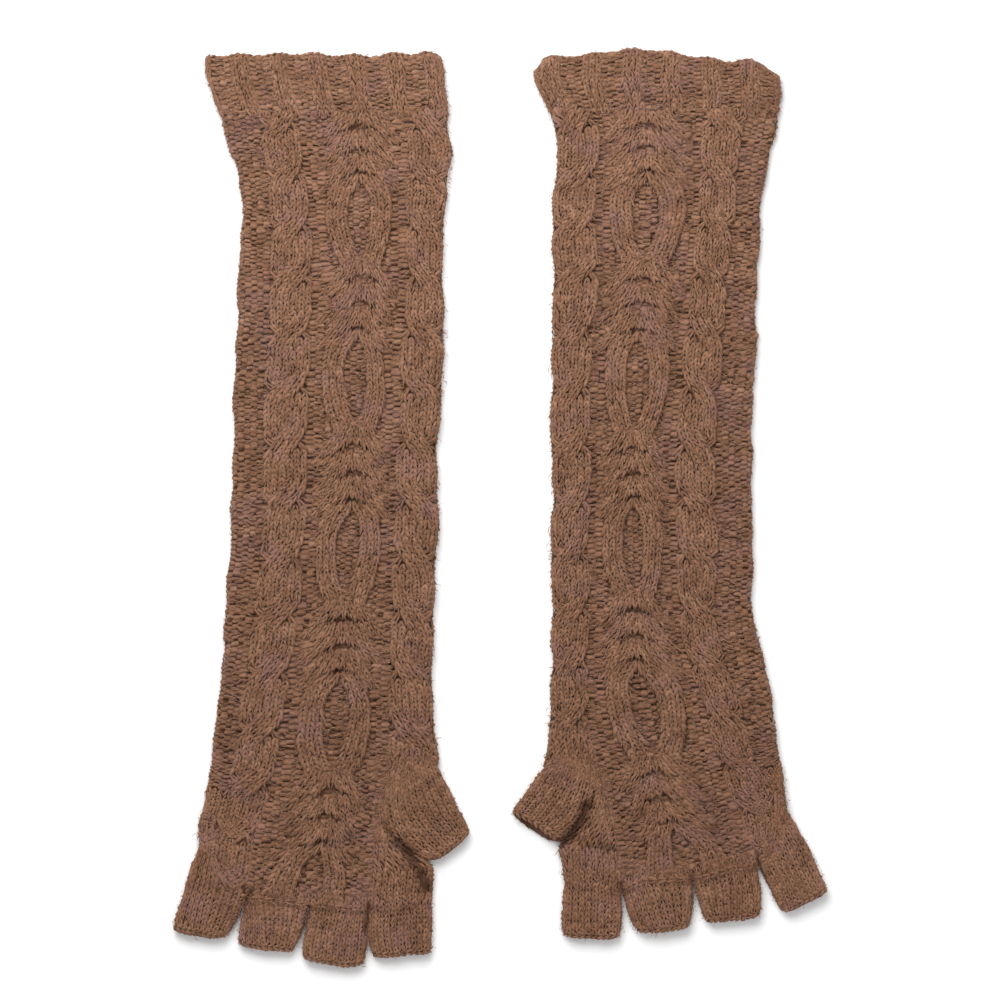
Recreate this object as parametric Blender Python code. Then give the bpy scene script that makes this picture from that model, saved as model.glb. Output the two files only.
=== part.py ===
"""A pair of elbow-length cabled fingerless gloves, laid flat side by side.

Every piece is a flattened knitted tube: one closed wall, open at both ends, flat underneath,
with its cables and ribs raised on the upper face over a plain inside. x runs to the right, y
from the fingers towards the cuffs and z up from the surface. All sizes below are millimetres.
"""
import bmesh
import bpy
import numpy as np

MM = 0.001

# The cloth
WALL = 2.35
HOLLOW = 0.3
THICKNESS = 2 * WALL + HOLLOW
FOLD_RADIUS = 3.2
SEAM_GAP = 0.3
SIDE_GAP = 0.5
CABLE_RELIEF = 1.8
RIB_RELIEF = 0.9
EDGE_RELIEF = 0.5
MOUTH_DROP = 0.3

# The stitch chart: courses are counted from the cuff, wales across a cable
FIRST_PEAK = 3
REPEAT = 36
PEAK_STEP = 5.5
ROPE_STEP = 12
ROPE_FIRST = 2
ROPE_SPAN = 4.3
ROPE_WALES = 6
STRAND_HALF = 1.6
WALE = 2.3
COURSE = 1.95
THUMB_ROPE_END = 139
OUTER_ROPE_END = 152
STAGHORN_END = 160
ROPE_FADE = 8
STAGHORN_FADE = 6

# A rope's crossing: the front strand rises and the one behind it sinks, as shares of the relief
FRONT_RISE = 0.15
BEHIND_DROP = 0.8

# A chevron's strand: courses above and below its peak, then wales at its start and its run
CHEVRON_ABOVE = 4.6
CHEVRON_BELOW = 1.2
CHEVRON_START = 0.9
CHEVRON_RUN = 5.0
CHEVRON_HEIGHT = 1.1

# The folded edges swing in and out with the ropes: millimetres, the course where the little
# finger's side starts, and how far above the thumb the swing dies out
FOLD_WAVE = 0.7
LITTLE_WAVE_FIRST = 5
WAVE_FADE = 30

# The oval between two stacks of chevrons: courses below the last peak, wales from the centre
OVAL = ((1.0, 0.9), (4.5, 3.6), (8.5, 4.4), (12.0, 4.1), (16.0, 3.6), (19.0, 2.6), (22.5, 1.3))

# Mesh rows of one repeat of the chart, in courses, close together where the chevrons are
REPEAT_ROWS = (-3.5, -1.7, 0, 1.8, 3.6, 5.5, 7.3, 9.1, 11, 12.8, 15.4, 18.2, 21.0, 24.0, 27.0, 30.0)

# Mesh columns between two neighbouring lines of the cable layout
PANEL_COLUMNS = (0.0, 0.08, 0.24, 0.6)
ROPE_COLUMNS = (0.0, 0.2, 0.4, 0.6, 0.8)
GUTTER_COLUMNS = (0.0, 0.5)
STAGHORN_COLUMNS = (0.0, 0.25, 0.5, 0.75)
FOLDED_ROPE_COLUMNS = (0.0, 0.2, 0.4, 0.6, 0.8, 0.92)

# The cable layout, a row for each section. y is the section's place on the thumb side. The
# others are x: the fold on the little finger's side, the outer rope's two sides, the
# staghorn's outer side, centre and inner side, the inner rope's near side, the thumb-side fold.
RIGHT_ARM = (
    # y,    fold,   rope,          staghorn,             rope,  fold
    (161.4, -114.8, -99.5, -82.5, -73.5, -57.5, -42.0, -37.0, -20.5),
    (146.5, -110.5, -97.0, -81.0, -72.0, -57.5, -42.5, -37.5, -19.5),
    (134.5, -106.5, -94.5, -78.5, -71.5, -57.0, -44.0, -38.5, -21.0),
    (118.0, -105.0, -94.0, -77.0, -71.0, -57.0, -44.0, -38.5, -22.0),
    (93.5, -107.0, -94.0, -76.5, -70.5, -56.5, -44.0, -38.0, -22.5),
    (60.5, -108.0, -95.5, -77.0, -73.0, -58.0, -46.5, -40.5, -22.5),
    (27.5, -109.0, -97.0, -78.5, -73.5, -59.0, -46.5, -41.5, -24.5),
    (-5.0, -110.0, -97.0, -79.0, -74.5, -61.0, -47.5, -43.0, -25.0),
    (-38.0, -111.5, -100.0, -81.5, -77.0, -63.5, -49.5, -44.5, -26.0),
    (-62.5, -113.5, -103.5, -85.0, -80.0, -65.0, -51.0, -45.0, -27.0),
    (-83.0, -115.5, -106.0, -88.0, -82.5, -66.0, -52.0, -45.5, -27.0),
    (-103.5, -117.5, -108.5, -91.0, -85.0, -68.0, -53.5, -46.5, -25.0),
    (-120.0, -119.5, -112.5, -95.0, -87.5, -69.5, -56.5, -49.5, -27.0),
    (-133.0, -120.5, -115.0, -99.0, -88.0, -72.0, -60.5, -51.5, -27.5),
    (-145.5, -122.0, -116.5, -102.0, -91.0, -75.5, -62.5, -53.0, -27.5),
    (-161.0, -123.0, -117.5, -103.5, -99.0, -77.0, -63.0, -53.5, -27.7),
)
LEFT_ARM = (
    (162.3, 114.3, 102.0, 83.5, 76.5, 60.5, 45.0, 40.0, 20.3),
    (146.5, 111.5, 99.0, 82.5, 76.5, 60.5, 46.0, 41.5, 23.3),
    (126.0, 107.5, 97.0, 81.5, 77.0, 60.0, 45.0, 40.0, 22.0),
    (93.5, 106.0, 94.0, 79.0, 74.0, 59.0, 44.5, 40.5, 21.7),
    (56.5, 104.5, 91.0, 74.5, 70.0, 56.5, 43.0, 38.0, 21.2),
    (23.5, 103.7, 89.0, 72.5, 67.5, 55.5, 42.0, 37.5, 21.2),
    (-5.0, 103.7, 89.5, 72.0, 67.0, 55.0, 42.5, 37.5, 21.2),
    (-38.0, 103.7, 89.0, 73.5, 69.0, 55.5, 42.0, 37.5, 21.3),
    (-58.5, 107.5, 91.5, 76.0, 71.5, 56.5, 41.5, 36.5, 21.3),
    (-79.0, 111.5, 98.5, 83.5, 76.5, 59.0, 43.5, 37.0, 20.5),
    (-95.0, 114.0, 102.5, 86.5, 78.5, 62.0, 46.5, 38.0, 20.2),
    (-105.5, 115.2, 105.0, 90.0, 80.5, 64.0, 49.0, 41.5, 19.0),
    (-114.0, 115.8, 107.5, 92.0, 82.5, 65.5, 50.5, 44.0, 20.0),
    (-131.0, 116.8, 113.0, 98.5, 86.5, 71.5, 58.0, 48.0, 23.0),
    (-144.5, 117.0, 113.0, 103.5, 92.0, 76.5, 60.0, 50.5, 25.0),
    (-153.0, 117.3, 112.0, 106.0, 95.5, 78.5, 60.0, 50.5, 26.8),
)

# y of the first chevron of each stack and of the fingers' end, against the chart's courses
CHART_KNOTS = (0, 3, 39, 75, 111, 147, 170.5)
RIGHT_COURSES = (161.5, 155.5, 93.5, 24.5, -46.0, -116.5, -161.5)
LEFT_COURSES = (162.5, 156.5, 94.0, 23.5, -43.0, -109.5, -153.5)

# y at which the fingers start, on each line of the layout from the little finger's side
RIGHT_FINGER_LINE = (-138.8, -144.5, -160.0, -159.3, -161.7, -163.0, -163.4, -161.0)
LEFT_FINGER_LINE = (-122.8, -133.0, -145.3, -147.0, -151.9, -152.0, -155.6, -153.0)

# Fingers: first and last line of the layout, then the tip's corners (x, y) on those sides
RIGHT_FINGERS = {
    "little": (0, 2, (-134.4, -173.0), (-111.9, -176.3)),
    "ring": (2, 4, (-106.8, -178.6), (-84.5, -182.6)),
    "middle": (4, 6, (-80.9, -185.2), (-55.6, -187.2)),
    "index": (6, 7, (-52.7, -184.3), (-27.5, -182.3)),
}
LEFT_FINGERS = {
    "little": (0, 2, (135.3, -157.2), (115.8, -166.2)),
    "ring": (2, 4, (107.2, -167.2), (84.7, -169.8)),
    "middle": (4, 6, (78.9, -171.4), (55.8, -174.4)),
    "index": (6, 7, (49.4, -175.9), (26.2, -175.2)),
}

# Thumbs: corners (x, y) where they leave the hand and at the tip, how far the inner side bulges
# over the hand, and how far the mouth's upper rim is drawn back
RIGHT_THUMB = dict(base_out=(-24.3, -107.8), base_in=(-45.3, -120.2), tip_out=(-11.1, -132.8),
                   tip_in=(-28.4, -145.9), bulge=4.6, setback=0.0)
LEFT_THUMB = dict(base_out=(18.9, -106.2), base_in=(39.8, -114.2), tip_out=(4.6, -125.3),
                  tip_in=(24.0, -138.4), bulge=3.4, setback=2.6)
THUMB_STEPS = 12
NOTCH_CORNER = 2.5

# Cuffs: sections (y, fold on the little finger's side, fold on the thumb side), the upper
# edge (share of the width from the little finger's side, y), and the first rib's share
RIGHT_CUFF = ((161.7, -114.8, -20.5), (169.5, -117.7, -21.6), (177.0, -119.7, -22.5),
              (186.0, -119.9, -24.2))
LEFT_CUFF = ((162.6, 114.3, 20.3), (169.5, 115.3, 17.4), (177.0, 115.6, 14.9),
             (186.0, 115.0, 15.2))
RIGHT_CUFF_TOP = ((0.0, 184.4), (0.04, 185.6), (0.17, 186.0), (0.5, 185.5), (0.93, 186.0), (1.0, 184.8))
LEFT_CUFF_TOP = ((0.0, 176.8), (0.06, 181.2), (0.12, 183.1), (0.2, 183.6), (0.33, 185.1),
                 (0.57, 187.2), (0.71, 187.5), (0.84, 185.5), (0.96, 184.0), (1.0, 180.2))
RIB_PITCH = 0.163
RIB_SCALLOP = 0.7

# A finger's mouth: where its bound-off rim lies along it, how wide that is, its length in the
# middle, and how far its corners are drawn back, all as shares of the finger's length
RIM_AT = 0.93
RIM_HALF = 0.12
TIP_LENGTH = 1.04
TIP_CORNER = 0.06
CROTCH_SHARE = 0.012

# Rows down the round side of a fold start at this share of the tube's width
RIM_SHARE = 0.02

GLOVES = {
    "right": dict(arm=RIGHT_ARM, courses=RIGHT_COURSES, finger_line=RIGHT_FINGER_LINE,
                  fan_start=-103.5, fingers=RIGHT_FINGERS, thumb=RIGHT_THUMB,
                  cuff=RIGHT_CUFF, cuff_top=RIGHT_CUFF_TOP, first_rib=0.144),
    "left": dict(arm=LEFT_ARM, courses=LEFT_COURSES, finger_line=LEFT_FINGER_LINE,
                 fan_start=-95.0, fingers=LEFT_FINGERS, thumb=LEFT_THUMB,
                 cuff=LEFT_CUFF, cuff_top=LEFT_CUFF_TOP, first_rib=0.121),
}

# Taupe-brown wool, linear colour; each kind of knitting has its own name
WOOL_COLOUR = (0.245, 0.145, 0.095, 1.0)
WOOL_ROUGHNESS = 0.95


def smooth_line(x, xs, ys):
    """Value at x of a smooth line through the points, which never overshoots them."""
    xs, ys = np.asarray(xs, float), np.asarray(ys, float)
    step = np.diff(xs)
    rise = np.diff(ys) / step
    slope = np.concatenate(([rise[0]], np.zeros(len(rise) - 1), [rise[-1]]))
    for i in range(1, len(rise)):
        if rise[i - 1] * rise[i] > 0:
            slope[i] = 2 * rise[i - 1] * rise[i] / (rise[i - 1] + rise[i])
    i = int(np.clip(np.searchsorted(xs, x) - 1, 0, len(step) - 1))
    t = float(np.clip((x - xs[i]) / step[i], 0, 1))
    return ((1 + 2 * t) * (1 - t) ** 2 * ys[i] + t * (1 - t) ** 2 * step[i] * slope[i]
            + t * t * (3 - 2 * t) * ys[i + 1] - t * t * (1 - t) * step[i] * slope[i + 1])


def smooth_step(x, start, end):
    """Rise from 0 to 1 between start and end."""
    t = min(max((x - start) / (end - start), 0.0), 1.0)
    return t * t * (3 - 2 * t)


def ridge(distance, half_width):
    """Height of a round ridge, 1 on its crest and 0 from half_width away."""
    return max(0.0, 1 - (distance / half_width) ** 2) ** 0.5


class Arm:
    """The arm-and-hand tube of one glove: where its lines and courses lie."""

    def __init__(self, glove):
        self.rows = np.array(glove["arm"])[::-1]
        self.courses = glove["courses"]
        self.finger_line = glove["finger_line"]
        self.fan_start = glove["fan_start"]
        self.thumb = glove["thumb"]
        self.start = glove["arm"][0][0]
        self.end = glove["arm"][-1][0]
        self.to_thumb = np.sign(glove["arm"][0][-1] - glove["arm"][0][1])

    def course(self, y):
        """Course of the chart at the nominal height y."""
        return float(np.interp(-y, [-value for value in self.courses], CHART_KNOTS))

    def height(self, course):
        """Nominal height y of a course."""
        return float(np.interp(course, CHART_KNOTS, self.courses))

    def thumb_side(self, y):
        """x of the thumb-side fold, which makes way for the thumb."""
        base_out, base_in = self.thumb["base_out"], self.thumb["base_in"]
        if base_in[1] <= y <= base_out[1]:
            share = (base_out[1] - y) / (base_out[1] - base_in[1])
            return base_out[0] + share * (base_in[0] - base_out[0])
        if self.thumb["tip_in"][1] - SIDE_GAP <= y < base_in[1]:
            steps = [finger_point(self.thumb_corners(), 1, step / THUMB_STEPS, self.thumb["bulge"])
                     for step in range(THUMB_STEPS + 1)]
            x = np.interp(-y, [-point[1] for point in steps], [point[0] for point in steps])
            return x - self.to_thumb * 2 * SIDE_GAP
        wave = 0.5 + 0.5 * np.cos(2 * np.pi * (self.course(y) - ROPE_FIRST) / ROPE_STEP)
        wave *= FOLD_WAVE * smooth_step(y, base_out[1], base_out[1] + WAVE_FADE)
        return smooth_line(y, self.rows[:, 0], self.rows[:, 8]) - self.to_thumb * wave

    def thumb_corners(self):
        """Corners of the thumb's base, moved off the hand by a seam, and of its tip."""
        base_out, base_in, tip_out, tip_in = [
            np.array(self.thumb[corner]) for corner in ("base_out", "base_in", "tip_out", "tip_in")]
        along = (tip_out + tip_in) / 2 - (base_out + base_in) / 2
        off = along / np.linalg.norm(along) * SIDE_GAP
        return base_out + off, base_in + off, tip_out, tip_in

    def line(self, index, y):
        """x of one of the eight lines of the layout at the nominal height y."""
        if index == 7:
            return self.thumb_side(y)
        x = smooth_line(y, self.rows[:, 0], self.rows[:, index + 1])
        if index == 0:
            wave = np.cos(2 * np.pi * (self.course(y) - LITTLE_WAVE_FIRST) / ROPE_STEP)
            x -= self.to_thumb * FOLD_WAVE * 0.5 * wave * smooth_step(y, self.fan_start, 0)
        return x

    def place(self, across, y):
        """Point (x, y) of the cloth. across counts lines, 0 to 7 from the little finger."""
        index = min(int(across), 6)
        share = across - index
        x = (1 - share) * self.line(index, y) + share * self.line(index + 1, y)
        fan = max(0.0, (self.fan_start - y) / (self.fan_start - self.end))
        rise = np.interp(across, range(8), self.finger_line) - self.end
        return np.array((x, y + rise * fan))

    def relief(self, across, y):
        """How far the cables stand out, in millimetres."""
        course = self.course(y)
        if across <= 2:
            fade = 1 - smooth_step(course, OUTER_ROPE_END - ROPE_FADE, OUTER_ROPE_END)
            return CABLE_RELIEF * fade * rope_height((across - 1.5) * ROPE_WALES, course)
        if across >= 6:
            fade = 1 - smooth_step(course, THUMB_ROPE_END - ROPE_FADE, THUMB_ROPE_END)
            return CABLE_RELIEF * fade * rope_height((6.5 - across) * ROPE_WALES, course)
        fade = 1 - smooth_step(course, STAGHORN_END, STAGHORN_END + STAGHORN_FADE)
        return CABLE_RELIEF * fade * staghorn_height(abs(across - 4) * ROPE_WALES, course)


def rope_height(wale, course):
    """Height of a rope of two strands. wale is -3 on its outer side and 3 on its inner one."""
    crossing = ROPE_FIRST + ROPE_STEP * round((course - ROPE_FIRST) / ROPE_STEP)
    share = smooth_step(course, crossing - ROPE_SPAN, crossing + ROPE_SPAN)
    front = ROPE_WALES * (0.25 - 0.5 * share)
    crossed = 4 * share * (1 - share)
    return max((1 + FRONT_RISE * crossed) * ridge(wale - front, STRAND_HALF),
               (1 - BEHIND_DROP * crossed) * ridge(wale + front, STRAND_HALF))


def staghorn_height(wale, course):
    """Height of the staghorn cable, wale counted from its centre to either side."""
    phase = (course - FIRST_PEAK + PEAK_STEP) % REPEAT - PEAK_STEP
    height = 0.0
    for peak in (0, PEAK_STEP, 2 * PEAK_STEP, REPEAT):
        # each chevron's strand runs down and outwards at about 45 degrees over the last one
        start, length = peak - CHEVRON_ABOVE, CHEVRON_ABOVE + CHEVRON_BELOW
        t = min(max((phase - start) / length, 0.0), 1.0)
        distance = np.hypot((wale - CHEVRON_START - CHEVRON_RUN * t) * WALE,
                            (phase - start - length * t) * COURSE)
        height = max(height, CHEVRON_HEIGHT * ridge(distance, STRAND_HALF * WALE))
    below = phase - 2 * PEAK_STEP
    if OVAL[0][0] <= below <= OVAL[-1][0]:
        centre = np.interp(below, [row[0] for row in OVAL], [row[1] for row in OVAL])
        height = max(height, ridge(wale - centre, STRAND_HALF))
    return height


def finger_point(corners, across, along, bulge=0.0):
    """Point of a finger or thumb between its base corners and its tip corners."""
    base_out, base_in, tip_out, tip_in = [np.array(corner) for corner in corners]
    base = base_out + across * (base_in - base_out)
    tip = tip_out + across * (tip_in - tip_out)
    outwards = (base_in - base_out) / np.linalg.norm(base_in - base_out)
    return base + along * (tip - base) + outwards * bulge * across * 4 * along * (1 - along)


def strip(mesh, first, second, first_at, second_at):
    """Faces between two rows of vertices that may differ in number."""
    i = j = 0
    while i < len(first) - 1 or j < len(second) - 1:
        forward = j == len(second) - 1 or (i < len(first) - 1 and first_at[i + 1] <= second_at[j + 1])
        corners = [first[i], first[i + 1], second[j]] if forward else [first[i], second[j + 1], second[j]]
        i, j = (i + 1, j) if forward else (i, j + 1)
        corners = list(dict.fromkeys(corners))
        if len(corners) == 3:
            mesh.faces.new(corners)


def grid(mesh, rows):
    """Quads between rows that have the same number of vertices."""
    for upper, lower in zip(rows, rows[1:]):
        for j in range(len(upper) - 1):
            mesh.faces.new([upper[j], upper[j + 1], lower[j + 1], lower[j]])


def fold_share(point, folds):
    """Share of the full half thickness that a point has, by its distance from the nearer fold."""
    distance = min(np.linalg.norm(point - fold) for fold in folds)
    return (1 - (1 - min(distance / FOLD_RADIUS, 1.0)) ** 2) ** 0.5


def knit_tube(name, material, place, relief, across, along, middle, coarse, upper_end=None):
    """A flattened tube. place(across, along) gives its cloth's (x, y) and relief its height.

    across and along are the upper face's columns and rows, middle the few columns of the
    inside and of the flat underside, coarse the numbers of the rows that these two use.
    upper_end(across, along) moves a row of the upper layer along, for a mouth that gapes.
    """
    mesh = bmesh.new()
    half = THICKNESS / 2
    width = across[-1] - across[0]
    rims = (across[0] + RIM_SHARE * width, across[-1] - RIM_SHARE * width)

    def vertex(point, z):
        return mesh.verts.new((point[0] * MM, point[1] * MM, z * MM))

    def upper_at(u, v):
        return place(u, upper_end(u, v) if upper_end else v)

    upper = []
    for v in along:
        folds = place(across[0], v), place(across[-1], v)
        row = []
        for u in across:
            point = upper_at(u, v) if across[0] < u < across[-1] else place(u, v)
            row.append(vertex(point, half + fold_share(point, folds) * (half + relief(u, v))))
        upper.append(row)

    # the underside: a rounded strip along each fold, then flat cloth with fewer points
    sides = []
    for u in rims:
        side = []
        for v in along:
            point = place(u, v)
            folds = place(across[0], v), place(across[-1], v)
            side.append(vertex(point, half * (1 - fold_share(point, folds))))
        sides.append(side)
    flat = [[vertex(place(u, along[row]), 0.0) for u in middle] for row in coarse]
    coarse_at = [along[row] for row in coarse]
    order = np.sign(along[-1] - along[0])
    rows_at, coarse_at = [order * v for v in along], [order * v for v in coarse_at]
    strip(mesh, [row[0] for row in upper], sides[0], rows_at, rows_at)
    strip(mesh, sides[0], [row[0] for row in flat], rows_at, coarse_at)
    strip(mesh, [row[-1] for row in flat], sides[1], coarse_at, rows_at)
    strip(mesh, sides[1], [row[-1] for row in upper], rows_at, rows_at)
    grid(mesh, upper)
    grid(mesh, flat)

    # the plain inside: two layers that meet in a rounded fold inside each outer one
    roof, ground = [], []
    for row in coarse:
        v = along[row]
        line = [place(u, v) for u in (across[0], *middle, across[-1])]
        inwards = (line[-1] - line[0]) / np.linalg.norm(line[-1] - line[0])
        line[0], line[-1] = line[0] + inwards * WALL, line[-1] - inwards * WALL
        top = [vertex(line[0], half)]
        low = [top[0]]
        for j, u in enumerate(middle):
            lifted = upper_at(u, v) if row in (0, len(along) - 1) else line[j + 1]
            top.append(vertex(lifted, half + HOLLOW / 2))
            low.append(vertex(line[j + 1], half - HOLLOW / 2))
        end = vertex(line[-1], half)
        roof.append(top + [end])
        ground.append(low + [end])
    grid(mesh, roof)
    grid(mesh, ground)

    # the two rims, where the wall's outside turns to its inside
    inner_at = [across[0], *middle, across[-1]]
    under_at = [across[0], rims[0], *middle, rims[1], across[-1]]
    for row in (0, -1):
        under = [upper[row][0], sides[0][row], *flat[row], sides[1][row], upper[row][-1]]
        strip(mesh, upper[row], roof[row], across, inner_at)
        strip(mesh, under, ground[row], under_at, inner_at)

    bmesh.ops.recalc_face_normals(mesh, faces=mesh.faces)
    data = bpy.data.meshes.new(name)
    mesh.to_mesh(data)
    mesh.free()
    data.shade_smooth()
    data.materials.append(material)
    return bpy.data.objects.new(name, data)


def wool(name):
    """A matt brown wool material."""
    material = bpy.data.materials.new(name)
    material.use_nodes = True
    shader = material.node_tree.nodes["Principled BSDF"]
    shader.inputs["Base Color"].default_value = WOOL_COLOUR
    shader.inputs["Roughness"].default_value = WOOL_ROUGHNESS
    shader.inputs["Metallic"].default_value = 0.0
    return material


def build_arm(hand, arm, material):
    """The cabled tube from the cuff to the fingers, with the thumb's notch in its side."""
    repeats = range(len(CHART_KNOTS) - 2)
    courses = [FIRST_PEAK + REPEAT * n + row for n in repeats for row in REPEAT_ROWS]
    last = CHART_KNOTS[-1]
    rows = [arm.start] + [arm.height(c) for c in courses if 1 < c < last - 1] + [arm.end]
    notch_end = arm.thumb["tip_in"][1] - SIDE_GAP
    for corner in (arm.thumb["base_out"][1], arm.thumb["base_in"][1], notch_end, notch_end - NOTCH_CORNER):
        nearest = min(range(1, len(rows) - 1), key=lambda i: abs(rows[i] - corner))
        rows[nearest] = corner
    rows.sort(reverse=True)
    zones = (PANEL_COLUMNS, ROPE_COLUMNS, GUTTER_COLUMNS, STAGHORN_COLUMNS, STAGHORN_COLUMNS,
             GUTTER_COLUMNS, FOLDED_ROPE_COLUMNS)
    across = [line + share for line, zone in enumerate(zones) for share in zone] + [7.0]
    coarse = [i for i, y in enumerate(rows)
              if i % 4 == 0 or y < arm.fan_start or i == len(rows) - 1]
    return knit_tube(f"{hand}_arm", material, arm.place, arm.relief, across, rows,
                     (0.5, 1.0, 2.0, 3.0, 4.0, 5.0, 6.0, 6.5), coarse)


def build_cuff(hand, glove, material):
    """The ribbed cuff, whose upper edge rises at each rib."""
    sections = np.array(glove["cuff"])
    shares, tops = np.array(glove["cuff_top"]).T
    bottom = sections[0][0]

    def rib(u):
        return np.cos(2 * np.pi * (u - glove["first_rib"]) / RIB_PITCH)

    def place(u, v):
        top = np.interp(u, shares, tops) + RIB_SCALLOP * rib(u)
        y = bottom + v * (top - bottom)
        outer = smooth_line(y, sections[:, 0], sections[:, 1])
        inner = smooth_line(y, sections[:, 0], sections[:, 2])
        return np.array((outer + u * (inner - outer), y))

    def relief(u, v):
        crest = min(max(0.5 + 0.9 * rib(u), 0.0), 1.0)
        return RIB_RELIEF * crest * (1 - 0.5 * smooth_step(v, 0.85, 1.0))

    first = glove["first_rib"]
    turns = [first + RIB_PITCH * step / 4 for step in range(-4, 26)]
    across = [0.0, 0.01, 0.03] + [u for u in turns if 0.045 < u < 0.955] + [0.97, 0.99, 1.0]
    along = [0.0, 0.3, 0.6, 0.85, 1.0]
    return knit_tube(f"{hand}_cuff", material, place, relief, across, along,
                     (0.05, 0.2, 0.5, 0.8, 0.95), range(len(along)))


def tip_round(across):
    """Length of a finger across its mouth, which is drawn back at its corners."""
    return TIP_LENGTH - TIP_CORNER * abs(2 * across - 1) ** 4


def build_finger(name, material, corners, bulge=0.0, setback=0.0, base_line=None):
    """A short plain tube with a bound-off rim. base_line gives a base that isn't straight."""
    length = np.linalg.norm((np.array(corners[2]) + corners[3] - corners[0] - corners[1]) / 2)

    def place(u, v):
        along = v * tip_round(u)
        point = finger_point(corners, u, along, bulge)
        if base_line:
            straight = finger_point(corners, u, 0.0)
            point = point + (base_line(u) - straight) * (1 - v)
        return point

    def relief(u, v):
        return EDGE_RELIEF * ridge(v - RIM_AT, RIM_HALF) if v < 1 else -MOUTH_DROP

    def upper_end(u, v):
        return v - setback / length * 4 * u * (1 - u) * smooth_step(v, 0.5, 1.0)

    across = (0.0, 0.03, 0.1, 0.22, 0.36, 0.5, 0.64, 0.78, 0.9, 0.97, 1.0)
    along = (0.0, 0.3, 0.6, 0.82, RIM_AT, 1.0)
    return knit_tube(name, material, place, relief, across, along,
                     (0.14, 0.5, 0.86), (0, 2, 5), upper_end if setback else None)


def build_glove(hand, glove):
    """All pieces of one glove."""
    arm = Arm(glove)
    plain = wool(f"{hand}_plain_knit")
    pieces = [build_cuff(hand, glove, wool(f"{hand}_rib_knit")),
              build_arm(hand, arm, wool(f"{hand}_cable_knit"))]
    for finger, (first, last, tip_out, tip_in) in glove["fingers"].items():
        middle = (np.array(tip_out) + tip_in) / 2
        off = middle - arm.place((first + last) / 2, arm.end)
        off = off / np.linalg.norm(off) * 2 * SEAM_GAP
        inset = CROTCH_SHARE * (last - first)

        def base_line(u, first=first, last=last, inset=inset, off=off):
            return arm.place(first + inset + u * (last - first - 2 * inset), arm.end) + off

        corners = (base_line(0.0), base_line(1.0), np.array(tip_out), np.array(tip_in))
        pieces.append(build_finger(f"{hand}_{finger}", plain, corners, base_line=base_line))
    pieces.append(build_finger(f"{hand}_thumb", plain, arm.thumb_corners(),
                               arm.thumb["bulge"], arm.thumb["setback"]))
    return pieces


def main():
    for item in list(bpy.data.objects):
        bpy.data.objects.remove(item, do_unlink=True)
    collection = bpy.data.collections.new("fingerless_gloves")
    bpy.context.scene.collection.children.link(collection)
    pieces = [piece for hand, glove in GLOVES.items() for piece in build_glove(hand, glove)]
    corners = np.array([vertex.co for piece in pieces for vertex in piece.data.vertices])
    centre = (corners.min(axis=0) + corners.max(axis=0)) / 2
    for piece in pieces:
        piece.location = (-centre[0], -centre[1], 0)
        collection.objects.link(piece)


main()
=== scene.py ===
from math import radians

import bmesh
import bpy
import numpy as np
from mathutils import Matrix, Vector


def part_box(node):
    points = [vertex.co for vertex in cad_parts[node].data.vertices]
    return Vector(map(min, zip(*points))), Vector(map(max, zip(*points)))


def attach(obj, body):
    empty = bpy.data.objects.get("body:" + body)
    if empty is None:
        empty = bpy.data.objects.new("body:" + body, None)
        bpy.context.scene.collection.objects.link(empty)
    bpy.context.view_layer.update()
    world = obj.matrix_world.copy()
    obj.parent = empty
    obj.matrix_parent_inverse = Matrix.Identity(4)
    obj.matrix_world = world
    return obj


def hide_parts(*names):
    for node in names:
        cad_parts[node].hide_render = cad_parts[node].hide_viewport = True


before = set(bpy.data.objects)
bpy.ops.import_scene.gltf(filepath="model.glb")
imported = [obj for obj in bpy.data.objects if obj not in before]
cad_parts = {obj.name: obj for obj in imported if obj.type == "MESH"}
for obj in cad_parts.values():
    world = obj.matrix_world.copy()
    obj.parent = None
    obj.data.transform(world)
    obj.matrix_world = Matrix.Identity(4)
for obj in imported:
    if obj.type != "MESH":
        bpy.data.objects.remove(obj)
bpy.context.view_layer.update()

# Everything is worked out in millimetres in the gloves' own frame and goes to metres at the end.
# x runs to the right, y from the fingers to the cuffs, z up from the surface.
mm = 0.001
random = np.random.default_rng(7)

# The cloth: two layers of knitting that lie on each other and meet in a round fold. A shell is the
# cloth under the stitches, that deep below its skin, above and on the palm's side
cloth = {"thickness": 5.0, "foldRadius": 3.2, "foldArc": 4.5, "cableRelief": 2.2, "shellDepth": 1.15,
         "palmDepth": 1.1, "shellWall": 0.5, "wale": 2.55, "course": 1.93, "wobble": 0.5,
         "shellFloor": 0.1, "yarnFloor": 0.03, "hairFloor": 0.2}
half = cloth["thickness"] / 2

# The stitch chart of the arms. Courses are counted from the cuff, wales across each cable.
chart = {"firstPeak": 3, "repeat": 36, "peakStep": 5.5, "repeats": 5, "ropeStep": 12, "ropeFirst": 2,
         "ropeSpan": 4.3, "strandHalf": 1.6, "above": 4.6, "below": 1.2, "start": 0.9, "run": 5.0, "legs": 8,
         "legWale": 2.3, "legCourse": 1.95, "legRelief": 1.1, "innerRopeEnd": 139, "outerRopeEnd": 152,
         "staghornEnd": 165, "last": 169.5}
# the slits over the chevrons: how deep they go, and half their length and width
slits = {"depth": 0.6, "change": 0.4, "courses": 1.1, "wales": 2.2}
# the oval between two stacks of chevrons: courses below the last peak, wales from the centre
oval = ((0.0, 1.4), (4.0, 3.3), (8.5, 4.0), (12.0, 3.9), (16.0, 3.4), (19.0, 2.6), (22.5, 1.4))
chartKnots = (0, 3, 39, 75, 111, 147, 170.5)

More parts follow.
